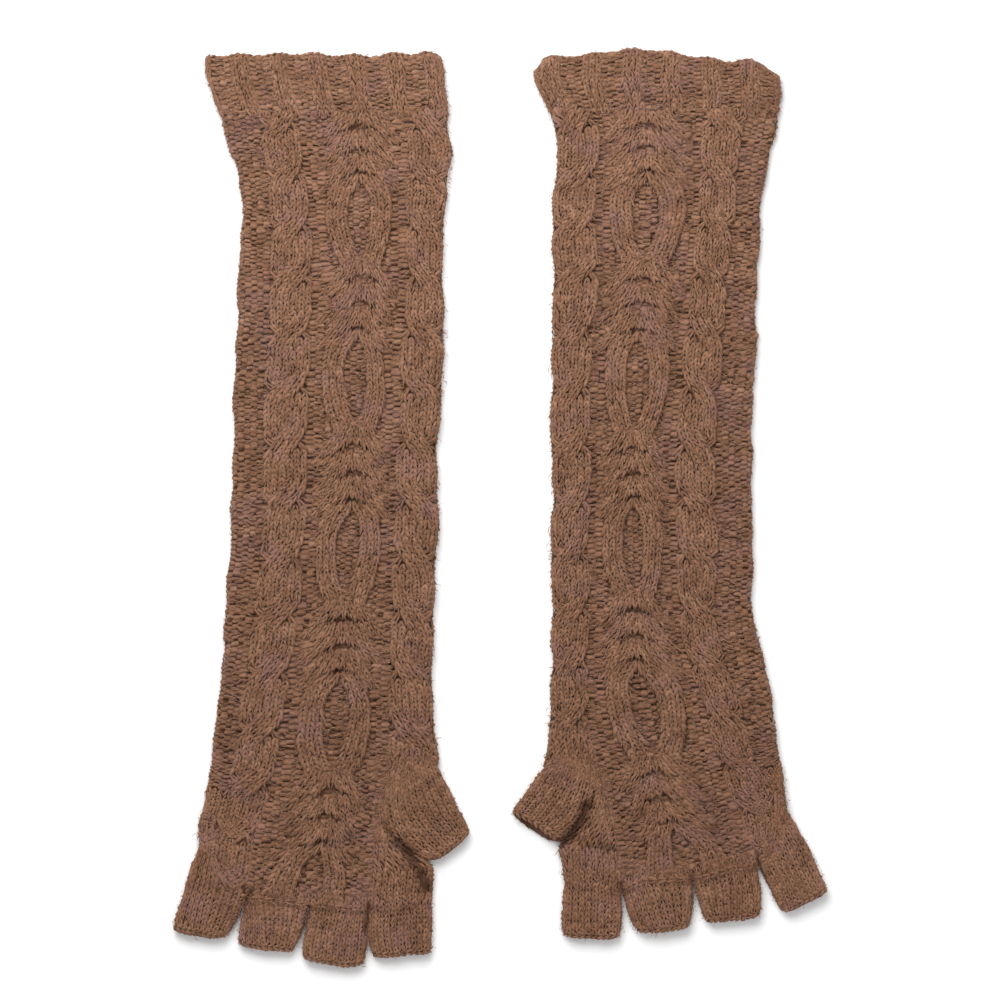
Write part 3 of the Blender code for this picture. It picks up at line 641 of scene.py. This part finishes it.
def addNode(tree, kind, settings=None, links=None, **values):
    # one node with its settings and socket values, linked from other nodes' outputs
    node = tree.nodes.new(kind)
    for key, value in (settings or {}).items():
        setattr(node, key, value)
    for key, value in values.items():
        node.inputs[key.replace("_", " ")].default_value = value
    for key, output in (links or {}).items():
        tree.links.new(output, node.inputs[key])
    return node


# Lambswool yarn, heathered taupe brown: soft and dull, with paler fibres over a darker core; the ground's
# colours are darker still as painted shade
wool = {"pit": "#442b1d", "deep": "#553725", "shadedCore": "#644431", "dark": "#704d38", "mid": "#87614a",
        "light": "#9f775f", "pale": "#b69078", "cast": "#8a6663", "sheen": "#d8c0ac",
        "fibre": 0.35, "stretch": 0.35, "fleck": 1.6, "mottle": 9.0, "patch": 11.0}


def woolMaterial(name, shade):
    material = bpy.data.materials.new(name)
    material.use_nodes = True
    tree = material.node_tree
    shader = tree.nodes["Principled BSDF"]
    place = addNode(tree, "ShaderNodeTexCoord")
    toneWithCreaseShade = addNode(tree, "ShaderNodeAttribute", {"attribute_name": "toneWithCreaseShade"})
    yarn = addNode(tree, "ShaderNodeAttribute", {"attribute_name": "yarn"})
    # fibres lie along the yarn. Real ones are too fine to show, so these are 0.35 mm apart
    stretched = addNode(tree, "ShaderNodeMapping", {"vector_type": "POINT"},
                        {"Vector": yarn.outputs["Vector"]}, Scale=(wool["stretch"], 1.0, 1.0))
    fibres = addNode(tree, "ShaderNodeTexNoise", {"noise_dimensions": "3D"},
                     {"Vector": stretched.outputs[0]}, Scale=1 / wool["fibre"], Detail=3.0)
    mottle, flecks, patches = [
        addNode(tree, "ShaderNodeTexNoise", {"noise_dimensions": "3D"},
                {"Vector": place.outputs["Object"]}, Scale=1 / (wool[size] * mm), Detail=detail)
        for size, detail in (("mottle", 4.0), ("fleck", 2.0), ("patch", 3.0))]
    total = mottle.outputs["Fac"]
    # the tone attribute brings both the random tone and the painted crease shade into the colour
    for part, share in ((fibres, 0.8), (flecks, 0.7), (toneWithCreaseShade, 0.5)):
        added = addNode(tree, "ShaderNodeMath", {"operation": "MULTIPLY_ADD"},
                        {0: part.outputs["Fac"], 2: total})
        added.inputs[1].default_value = share
        total = added.outputs[0]
    spread = addNode(tree, "ShaderNodeMapRange", links={"Value": total}, From_Min=0.3, From_Max=2.0)
    # painted shade: the wool is a little darker towards the hand, where less light falls
    sides = addNode(tree, "ShaderNodeSeparateXYZ", links={"Vector": place.outputs["Object"]})
    fade = addNode(tree, "ShaderNodeMapRange", links={"Value": sides.outputs["Y"]},
                   From_Min=-0.12, From_Max=0.16, To_Min=-0.12, To_Max=0.01)
    shaded = addNode(tree, "ShaderNodeMath", {"operation": "ADD"},
                     {0: spread.outputs[0], 1: fade.outputs[0]})
    ramp = addNode(tree, "ShaderNodeValToRGB", links={"Fac": shaded.outputs[0]})
    for at in (0.42, 0.71):
        ramp.color_ramp.elements.new(at)
    for element, key in zip(ramp.color_ramp.elements, shade):
        element.color = linear(wool[key])
    # a mauve cast comes and goes
    cast = addNode(tree, "ShaderNodeMapRange", links={"Value": patches.outputs["Fac"]},
                   From_Min=0.5, From_Max=0.7, To_Max=0.42)
    tinted = addNode(tree, "ShaderNodeMix", {"data_type": "RGBA"},
                     {"Factor": cast.outputs[0], 6: ramp.outputs["Color"]})
    tinted.inputs[7].default_value = linear(wool["cast"])
    tree.links.new(tinted.outputs[2], shader.inputs["Base Color"])
    bumps = addNode(tree, "ShaderNodeBump", links={"Height": fibres.outputs["Fac"]},
                    Strength=0.5, Distance=0.4 * mm)
    tree.links.new(bumps.outputs["Normal"], shader.inputs["Normal"])
    for socket, value in (("Roughness", 0.95), ("Specular IOR Level", 0.2), ("Sheen Weight", 0.2),
                          ("Sheen Roughness", 0.5), ("Sheen Tint", linear(wool["sheen"]))):
        shader.inputs[socket].default_value = value
    return material


yarnWool = woolMaterial("lambswool_yarn", ("pit", "dark", "mid", "light"))
# painted shade: the ground under the stitches stands for the yarn's back loops and is coloured darker, so the
# gaps between stitches read as shadow
groundWoolInShade = woolMaterial("lambswool_ground_in_shade", ("pit", "deep", "shadedCore", "dark"))
fibreWool = woolMaterial("lambswool_fibres", ("dark", "mid", "light", "pale"))
frontShape, palmShape, hairShape = yarnShape(4, 3), yarnShape(4, 2), yarnShape(3, 2)

# The ropes' strands in wales: how wide they are knitted, how far apart the one behind shows, and
# where the ground shows between them
rope = {"spread": 0.98, "behindFrom": 1.2, "bareFrom": 1.7, "bareSink": 0.25}
# A chevron's leg in wales and courses: where it starts, how far out it runs and bends, how far its
# wales lean, where it clears the centre, and what it covers. Then the same for an oval's side
leg = {"start": 1.5, "out": 3.3, "straight": 0.45, "bend": 0.55, "lean": 0.35, "spread": 1.05,
       "clear": 2.1, "slit": 1.6, "covers": 1.75}
ovalSide = {"relief": 0.95, "spread": 1.25, "covers": 2.1}
# Upright wales between the chevrons, in courses and wales
upright = {"under": 2.35, "low": 0.1, "rise": 1.05}


def evenly(count):
    return (np.arange(count) + 0.5) / count


def zonePlaces(arm, low, high, courses, fewest=1):
    # even wales over a zone of the layout, course by course
    widths = np.linalg.norm(arm.plan(high, courses) - arm.plan(low, courses), axis=-1)
    counts = np.maximum(fewest, np.round(widths / cloth["wale"])).astype(int)
    u = np.concatenate([low + evenly(count) * (high - low) for count in counts])
    number = np.concatenate([np.arange(count) for count in counts])
    row = np.repeat(np.arange(len(courses)), counts)
    return u, np.repeat((high - low) / counts, counts), courses[row], number


def edgePlaces(arm, inner, outer, courses):
    # wales of one width from a line of the layout out to the fold and round it
    wale = cloth["wale"]
    widths = np.linalg.norm(arm.plan(outer, courses) - arm.plan(inner, courses), axis=-1)
    totals = widths - cloth["foldRadius"] + cloth["foldArc"]
    counts = np.maximum(0, (totals / wale + 0.4).astype(int))
    row = np.repeat(np.arange(len(courses)), counts)
    number = np.concatenate([np.arange(count) for count in counts])
    arcs = np.clip(totals[row] - (number + 0.5) * wale, 0, None)
    u = outer + (inner - outer) * foldDistance(arcs, 2 * totals[row]) / widths[row]
    return u, wale / widths[row], courses[row], number


def strandWales(course):
    # how far from a rope's middle its two strands are: the front one slants over the other
    number, share = ropeShare(course)
    middle = chart["ropeFirst"] + chart["ropeStep"] * number
    return 1.5 - 3 * share, 3 * smoothStep(course, middle - 0.8, middle + 0.8) - 1.5


def ropePlace(zone, wales):
    # a place across the layout, so many wales from the middle of the outer or the inner rope
    return 1.5 + wales / 6 if zone == 1 else 6.5 - wales / 6


def ropeStitches(batch, arm, zone, end):
    # two strands of three wales that change sides at each crossing
    runs = np.arange(-0.8, chart["last"] if zone == 1 else end, 1.0)
    sign = -arm.turn if zone == 1 else arm.turn
    for strand in (0, 1):
        def wales(run, strand=strand):
            front, behind = strandWales(run)
            return np.where(ropeShare(run)[0] % 2 == strand, front, behind)

        def path(run, wales=wales):
            return ropePlace(zone, wales(run)), run

        def height(run, strand=strand):
            number, share = ropeShare(run)
            crossed = 4 * share * (1 - share)
            rise = np.where(number % 2 == strand, 1 + 0.2 * crossed, 1 - 0.45 * crossed)
            return rise * (1 - smoothStep(run, end - 8, end))

        tube = Strand(arm, path, height, zone, rope["spread"])
        front = ropeShare(runs)[0] % 2 == strand
        for a in (-1.0, 0.0, 1.0):
            apart = abs(strandWales(runs)[1] + a * sign - strandWales(runs)[0])
            knit(batch, tube, a, 1.0, runs[front | (apart > rope["behindFrom"])])
    # the ground shows where the strands draw together
    courses = np.arange(-0.8, end - 4, waveRow)
    for number, wale in enumerate(np.arange(-2.5, 3)):
        apart = np.minimum(*[abs(wale - middle) for middle in strandWales(courses + 0.5)])
        bare = courses[apart > rope["bareFrom"]]
        u = ropePlace(zone, wale) + 0 * bare
        seed(batch, arm, u, 1 / 6 + 0 * u, bare, number + 0 * u, rope["bareSink"])


def staghornStitches(batch, arm):
    # three chevrons, then an oval, on each side of the centre line. Returns what they cover
    covered = []
    reach, legs = chart["legs"], np.arange(chart["legs"] + 1.0)
    for side in (-1, 1):
        zone = 3 if side < 0 else 4
        lower = side * arm.turn
        for repeat in range(chart["repeats"]):
            base = chart["firstPeak"] + chart["repeat"] * repeat
            for number in range(3):
                top = base + (number - 1) * chart["peakStep"] - 0.1

                def out(run):
                    t = run / reach
                    return leg["start"] + leg["out"] * t * (leg["straight"] + leg["bend"] * abs(t))

                def path(run, top=top, side=side):
                    return 4 + side * out(run) / 6, top + run

                def height(run):
                    rise = 0.2 + smoothStep(run, -0.5, 3)
                    return rise * (1 - 0.85 * smoothStep(run, reach - 1, reach + 2))

                tube = Strand(arm, path, height, zone, leg["spread"])
                for a in (-1.0, 0.0, 1.0):
                    run = legs - 0.2 + leg["lean"] * (1 - a * lower)
                    course = path(run)[1]
                    # near the centre a leg stops at the slit over the next chevron
                    free = (out(run) - a * lower > leg["clear"]) | (run < chart["peakStep"] - leg["slit"])
                    free = free & (course > -1) & (course < chart["staghornEnd"] + 3)
                    knit(batch, tube, a, 1.0, run[free])
                covered.append((*path(legs), leg["covers"] + 0 * legs))
            floor = base + 2 * chart["peakStep"] - 0.2
            rows = np.array(oval)

            def path(run, floor=floor, side=side, rows=rows):
                return 4 + side * smoothLine(run - floor, rows[:, 0], rows[:, 1]) / 6, run

            def height(run, floor=floor):
                below = run - floor
                ends = smoothStep(below, -1.5, 2.5) * (1 - smoothStep(below, 19.5, 23))
                fade = 1 - smoothStep(run, chart["staghornEnd"], chart["staghornEnd"] + 6)
                return ovalSide["relief"] * ends * fade

            tube = Strand(arm, path, height, zone, ovalSide["spread"])
            run = np.arange(floor - 0.5, floor + 22.5, 1.0)
            run = run[run < chart["staghornEnd"] + 4]
            for a in (-1.0, 0.0, 1.0):
                knit(batch, tube, a, 1.0, run)
            covered.append((*path(run), ovalSide["covers"] + 0 * run))
    # upright wales down the centre rise towards the slit over the next chevron, and stop at it
    for repeat in range(chart["repeats"]):
        for number in range(3):
            slit = chart["firstPeak"] + chart["repeat"] * repeat + chart["peakStep"] * number

            def rising(run, slit=slit):
                above = run - slit + chart["peakStep"]
                return upright["low"] + upright["rise"] * smoothStep(above, 0.5, 4)

            centre = Strand(arm, lambda run: (4 + 0 * run, run), rising, 3)
            rows = slit - upright["under"] - np.arange(3.0)
            rows = rows[(rows > -1) & (rows < chart["staghornEnd"])]
            for wale in (-0.5, 0.5):
                knit(batch, centre, wale, 1.0, rows)
            for wale in (-1.5, 1.5):
                knit(batch, centre, wale, 1.0, rows[:1] + 0.1, 0.1)
    return [np.concatenate(part) for part in zip(*covered)]


def uncovered(places, covered):
    # how many wales each place is from the strands' edges
    u, course = places[0][:, None], places[2][:, None] + 0.5
    apart = np.hypot((u - covered[0]) * 6, (course - covered[1]) * 0.75) - covered[2]
    return apart.min(axis=1)


def armStitches(arm):
    # all the stitches of an arm's upper side
    batch = []
    courses = np.arange(-0.8, chart["last"], 1.0)
    waves = np.arange(-0.8, chart["last"], waveRow)
    ropeStitches(batch, arm, 1, chart["outerRopeEnd"])
    ropeStitches(batch, arm, 6, chart["innerRopeEnd"])
    covered = staghornStitches(batch, arm)
    # the wrong side in the gutters and behind the staghorn, sunk where a strand comes over it
    upper = waves[waves < chart["staghornEnd"] + 3]
    for low, high, fewest in ((2, 3, 2), (3, 4, 6), (4, 5, 6), (5, 6, 2)):
        places = zonePlaces(arm, low, high, upper, fewest)
        edge = uncovered(places, covered)
        u, step, v, number = [item[edge > -0.9] for item in places]
        seed(batch, arm, u, step, v, number, np.clip(0.5 - edge[edge > -0.9], 0, 1))
    # and in the panel beside the little finger, down to where the hand is plain
    plainFrom = chart["outerRopeEnd"] - 3
    seed(batch, arm, *edgePlaces(arm, 1, 0, waves[waves < plainFrom]))
    u, step, v, _ = edgePlaces(arm, 1, 0, courses[courses >= plainFrom])
    knit(batch, arm, u, step, v)
    for u in (2.0, 6.0):
        knit(batch, arm, u, 0.16, courses[courses > plainFrom], 0.5)
    # plain knitting below the thumb's rope and at the fingers' roots
    u, step, v, _ = edgePlaces(arm, 6, 7, courses[courses >= chart["innerRopeEnd"]])
    knit(batch, arm, u, step, v)
    for low, high in ((2, 3), (3, 4), (4, 5), (5, 6)):
        u, step, v, _ = zonePlaces(arm, low, high, courses[courses >= chart["staghornEnd"] + 1.5])
        knit(batch, arm, u, step, v)
    return batch


def roundPlaces(width):
    # even wales from fold to fold: their shares of the width, and the step between two
    total = arcLength(width)
    count = int(round(total / cloth["wale"]))
    return foldDistance(evenly(count) * total, total) / width, cloth["wale"] / width


def plainStitches(tube, width, rows, course, palm, sink=0.0):
    batch = []
    u, step = roundPlaces(width)
    u, v = [grid.ravel() for grid in np.meshgrid(u, rows)]
    knit(batch, tube, u, step, v, sink, palm, course)
    return batch


# The thumb's wales on the hand: courses down from the thumb, wales past its side and how far up
# they go there, how deep they sink, and the same for the two wales in the fold
gussetKnit = {"rows": 7, "beside": 2.6, "besideTop": 0.42, "sink": 1.1, "besideSink": 0.25,
              "foldWales": (0.1, 0.8), "foldTop": 0.86, "foldSink": 2.6}


def gussetStitches(batch, tube, course):
    # the thumb's wales run on over the hand, and past the thumb's side where no crease parts them
    gusset, step = Gusset(tube), cloth["wale"] / tube.width
    rows = gussetKnit["rows"]
    for u in np.arange(0.5 * step, 1.0 + gussetKnit["beside"] * step, step):
        v = np.arange(-rows, 0 if u < 1 else gussetKnit["besideTop"] / course) * course
        sink = (gussetKnit["sink"] * smoothStep(-v, 2 * course, rows * course)
                + gussetKnit["besideSink"] * (u > 1) * (u - 1) / step)
        knit(batch, gusset, u, step, v, sink, course=course)
    # deep in the fold between the thumb and the hand
    v = np.arange(0, gussetKnit["foldTop"], course)
    for wales in gussetKnit["foldWales"]:
        knit(batch, gusset, 1 + wales * step, step, v, gussetKnit["foldSink"], course=course)


# What each kind of piece has: its slot, its shell's grid and how much of that lies on top, its
# stitches' jitter, and its fibres: their number, their length and the share that stands off. The
# chains along the mouths are at a share of the length, so wide and so deep, in mm on the fingers
armPiece = {"slot": "cable_knit", "width": 86.0, "grid": (66, 100), "onTop": 0.8, "end": 0.03,
            "jitter": 0.17, "fibres": (19000, 3.2, 0.15)}
cuffPiece = {"slot": "rib_knit", "width": 94.0, "length": 24, "rows": 12, "edge": 0.012, "grid": (100, 10),
             "onTop": 0.6, "jitter": 0.17, "fibres": (2600, 2.2, 0.15), "chain": 0.955, "chainWidth": 0.1,
             "chainPitch": 2.4, "chainSink": 0.1}
fingerPiece = {"slot": "plain_knit", "grid": (40, 12), "onTop": 0.6, "shellDepth": 1.6, "jitter": 0.07,
               "fibres": (450, 1.9, 0.06), "gap": 0.6, "inset": 0.012, "mouth": 2.4, "chain": 0.955,
               "chainWidth": 2.6, "rootChain": 2.4, "rootSink": -0.6}


def ribStitches(tube, palm):
    # three knit wales and three purl ones by turns, knitted from the edge down to the arm
    batch, rows = [], cuffPiece["rows"]
    u = np.arange(-8, 36) / 6 * ribPitch + tube.glove["firstRib"]
    raised = tube.rib(u) > 0
    kept = (u > cuffPiece["edge"]) & (u < 1 - cuffPiece["edge"])
    v = 0.99 - np.arange(rows) / rows
    across, along = [grid.ravel() for grid in np.meshgrid(u[raised & kept], v)]
    knit(batch, tube, across, ribPitch / 6, along, 0.0, palm, -1 / rows)
    for bow in (-1.0, 1.0):
        chosen = ~raised & kept & (np.arange(len(u)) % 2 == (bow > 0))
        across, along = [grid.ravel() for grid in np.meshgrid(u[chosen], v)]
        purl(batch, tube, across, ribPitch / 6, along, 0.15, palm, -1 / rows, bow)
    for edge in (0.0, 1.0):
        for offset in (0.0, 0.008):
            knit(batch, tube, abs(edge - offset), 0.02, v, 0.0, palm, -1 / rows)
    return batch


def chain(tube, at, wide, palm, pitch=2.5, sink=-0.2):
    # a chain of stitches lying along an edge
    batch = []
    total = arcLength(tube.width)
    count = int(round(total / pitch))
    knit(batch, Rim(tube, at, wide), 0.0, 1.0, np.arange(count) / count, sink, palm, 0.7 / count)
    return batch


# Fibres in mm: how far they scatter, how long the ones that stand off are, their half widths, and
# how much shorter they are at the folds
fibre = {"scatter": 0.5, "strayLength": 0.9, "strayHalf": 0.05, "lyingHalf": 0.13, "atFold": 0.4,
         "bend": 0.12}


def hairs(batch, count, length, loose):
    # fibres combed out of the yarn: most lie along it, and a loose share stands off it
    start, middle, end, across, halfWidth, halfHeight = joinBatch(batch)
    share = halfWidth ** 2 / np.sum(halfWidth ** 2)
    chosen = random.choice(len(start), count, p=share)
    along = unit(end - start)[chosen]
    out = unit(np.cross(end - start, across))[chosen]
    out = out * np.where(out[:, 2:] < 0, -1, 1)
    stray = (random.random(count) < loose)[:, None]
    root = middle[chosen] + (halfHeight[chosen, None] * 0.75 + 0.1) * out
    root = root + fibre["scatter"] * random.standard_normal((count, 3)) * (1, 1, 0.1)
    noise = random.standard_normal((count, 3))
    way = unit(np.where(stray, 0.6 * along + noise * (1, 1, 0.6) + 0.35 * out,
                        along + 0.35 * noise * (1, 1, 0.3)))
    size = np.where(stray, fibre["strayLength"], length) * (0.6 + 0.8 * random.random((count, 1)))
    size = np.where(root[:, 2:] < half + 0.5, fibre["atFold"], 1.0) * size
    tip = root + way * size
    bend = fibre["bend"] * size * random.standard_normal((count, 3)) + 0.1 * out
    bend = (root + tip) / 2 + bend
    for points in (root, tip, bend):
        points[:, 2] = np.maximum(points[:, 2], cloth["hairFloor"])
    thick = np.where(stray, fibre["strayHalf"], fibre["lyingHalf"])[:, 0]
    thick = thick * (0.7 + 0.6 * random.random(count))
    return [(root, bend, tip, unit(np.cross(way, out)), thick, thick)]


def rolled(front, palm, width, piece, depth, ends=(0.0, 1.0), even=True):
    # round the tube: up over the front from the little finger's fold, then back underneath
    total, onTop = arcLength(width), piece["onTop"]

    def place(s, t):
        v = ends[0] + t * (ends[1] - ends[0])
        over = np.clip(s / onTop, 0, 1)
        over = foldDistance(over * total, total) / width if even else over
        upper = front.point(front.first + over * (front.last - front.first), v, depth)
        below = foldDistance(np.clip((1 - s) / (1 - onTop), 0, 1) * total, total) / width
        lower = palm.point(below, v, cloth["palmDepth"], palm=True)
        return np.where((s <= onTop)[:, None], upper, lower)

    return place


def dress(name, piece, front, under, place):
    # one tube of cloth: its stitches on top and on the palm's side, its fibres, and its shell
    slot = piece["slot"]
    parts = [yarnMesh(f"{name}_stitches", front, frontShape, yarnWool, piece["jitter"]),
             yarnMesh(f"{name}_palm_stitches", under, palmShape, yarnWool),
             yarnMesh(f"{name}_fuzz", hairs(front, *piece["fibres"]), hairShape, fibreWool)]
    shell = shellMesh(f"{name}_cloth", *piece["grid"], place, groundWoolInShade, slot, name)


def dressArm(hand, glove, arm):
    back, width = ArmPalm(glove), armPiece["width"]
    front = armStitches(arm)
    under = plainStitches(back, width, np.arange(-0.8, chart["last"], 1.0), 1.0, True)
    ends = (armPiece["end"], chartKnots[-1] - armPiece["end"])
    place = rolled(arm, back, width, armPiece, cloth["shellDepth"], ends, False)
    dress(f"{hand}_arm", armPiece, front, under, place)


def dressCuff(hand, glove):
    width = cuffPiece["width"]
    cuff = Cuff(glove, width)
    front, under = [ribStitches(cuff, palm) + chain(cuff, cuffPiece["chain"], cuffPiece["chainWidth"], palm,
                                                    cuffPiece["chainPitch"], cuffPiece["chainSink"])
                    for palm in (False, True)]
    place = rolled(cuff, cuff, width, cuffPiece, cloth["shellDepth"])
    dress(f"{hand}_cuff", cuffPiece, front, under, place)


def fingerTubes(glove, arm):
    # the four fingers, each a little clear of the hand and of its neighbours, and the thumb
    tubes = {}
    for finger, (first, last, tipOut, tipIn) in glove["fingers"].items():
        off = (np.array(tipOut) + tipIn) / 2 - arm.plan((first + last) / 2, chartKnots[-1])
        off = off / np.linalg.norm(off) * fingerPiece["gap"]
        inset = fingerPiece["inset"] * (last - first)

        def baseLine(u, low=first + inset, wide=last - first - 2 * inset, off=off):
            return arm.plan(low + np.asarray(u) * wide, chartKnots[-1]) + off

        corners = (baseLine(0.0), baseLine(1.0), np.array(tipOut), np.array(tipIn))
        tubes[finger] = Finger(corners, baseLine=baseLine)
    tubes["thumb"] = Finger(arm.thumbCorners(), glove["thumbBulge"], glove["thumbSetback"])
    return tubes


def dressFinger(hand, finger, tube):
    rows = int(round((tube.length - fingerPiece["mouth"]) / cloth["course"]))
    course = (1 - fingerPiece["mouth"] / tube.length) / rows
    front = plainStitches(tube, tube.width, np.arange(-1, rows) * course, course, False)
    under = plainStitches(tube, tube.width, np.arange(rows) * course, course, True)
    if finger == "thumb":
        gussetStitches(front, tube, course)
    if finger in ("ring", "middle"):
        front += chain(tube, 0.0, fingerPiece["rootChain"] / tube.length, False, sink=fingerPiece["rootSink"])
    chainWidth = fingerPiece["chainWidth"] / tube.length
    front += chain(tube, fingerPiece["chain"], chainWidth, False)
    under += chain(tube, fingerPiece["chain"], chainWidth, True, sink=0.2)
    place = rolled(tube, tube, tube.width, fingerPiece, fingerPiece["shellDepth"])
    dress(f"{hand}_{finger}", fingerPiece, front, under, place)


print("tables ready")
for hand, glove in gloves.items():
    arm = Arm(glove)
    dressArm(hand, glove, arm)
    dressCuff(hand, glove)
    for finger, tube in fingerTubes(glove, arm).items():
        dressFinger(hand, finger, tube)
    print(hand, "glove ready")

# Camera straight down, framed as the photograph is
view = {"width": 0.41, "centre": (0.41, 3.075), "height": 1.2}
camera = bpy.data.cameras.new("camera")
camera.type = "ORTHO"
camera.ortho_scale = view["width"]
cameraObject = addObject("camera", camera)
cameraObject.location = ((view["centre"][0] + shift[0]) * mm, (view["centre"][1] + shift[1]) * mm,
                         view["height"])
bpy.context.scene.camera = cameraObject

# A pale floor
floorMesh = bmesh.new()
bmesh.ops.create_grid(floorMesh, x_segments=1, y_segments=1, size=3.0)
floorData = bpy.data.meshes.new("floor")
floorMesh.to_mesh(floorData)
floorMesh.free()
floor = addObject("floor", floorData)
floorPaint = bpy.data.materials.new("pale_paper")
floorPaint.use_nodes = True
floorShader = floorPaint.node_tree.nodes["Principled BSDF"]
floorShader.inputs["Base Color"].default_value = linear("#f6f6f6")
floorShader.inputs["Roughness"].default_value = 0.9
floorData.materials.append(floorPaint)

# Soft studio light: a big box over the cuffs, a weaker one over the fingers, and a white room
for name, place, turn, size, power in (
        ("key", (-0.25, 0.62, 0.85), (radians(-38), radians(-14), 0), 0.9, 14.2),
        ("fill", (0.7, -0.8, 1.2), (radians(34), radians(25), 0), 1.4, 4.0)):
    lamp = bpy.data.lights.new(name, "AREA")
    lamp.size = size
    lamp.energy = power
    lampObject = addObject(name, lamp)
    lampObject.location, lampObject.rotation_euler = place, turn
world = bpy.data.worlds.new("studio")
world.use_nodes = True
world.node_tree.nodes["Background"].inputs["Color"].default_value = (1, 1, 1, 1)
world.node_tree.nodes["Background"].inputs["Strength"].default_value = 0.56
bpy.context.scene.world = world
bpy.context.scene.view_settings.view_transform = "Standard"
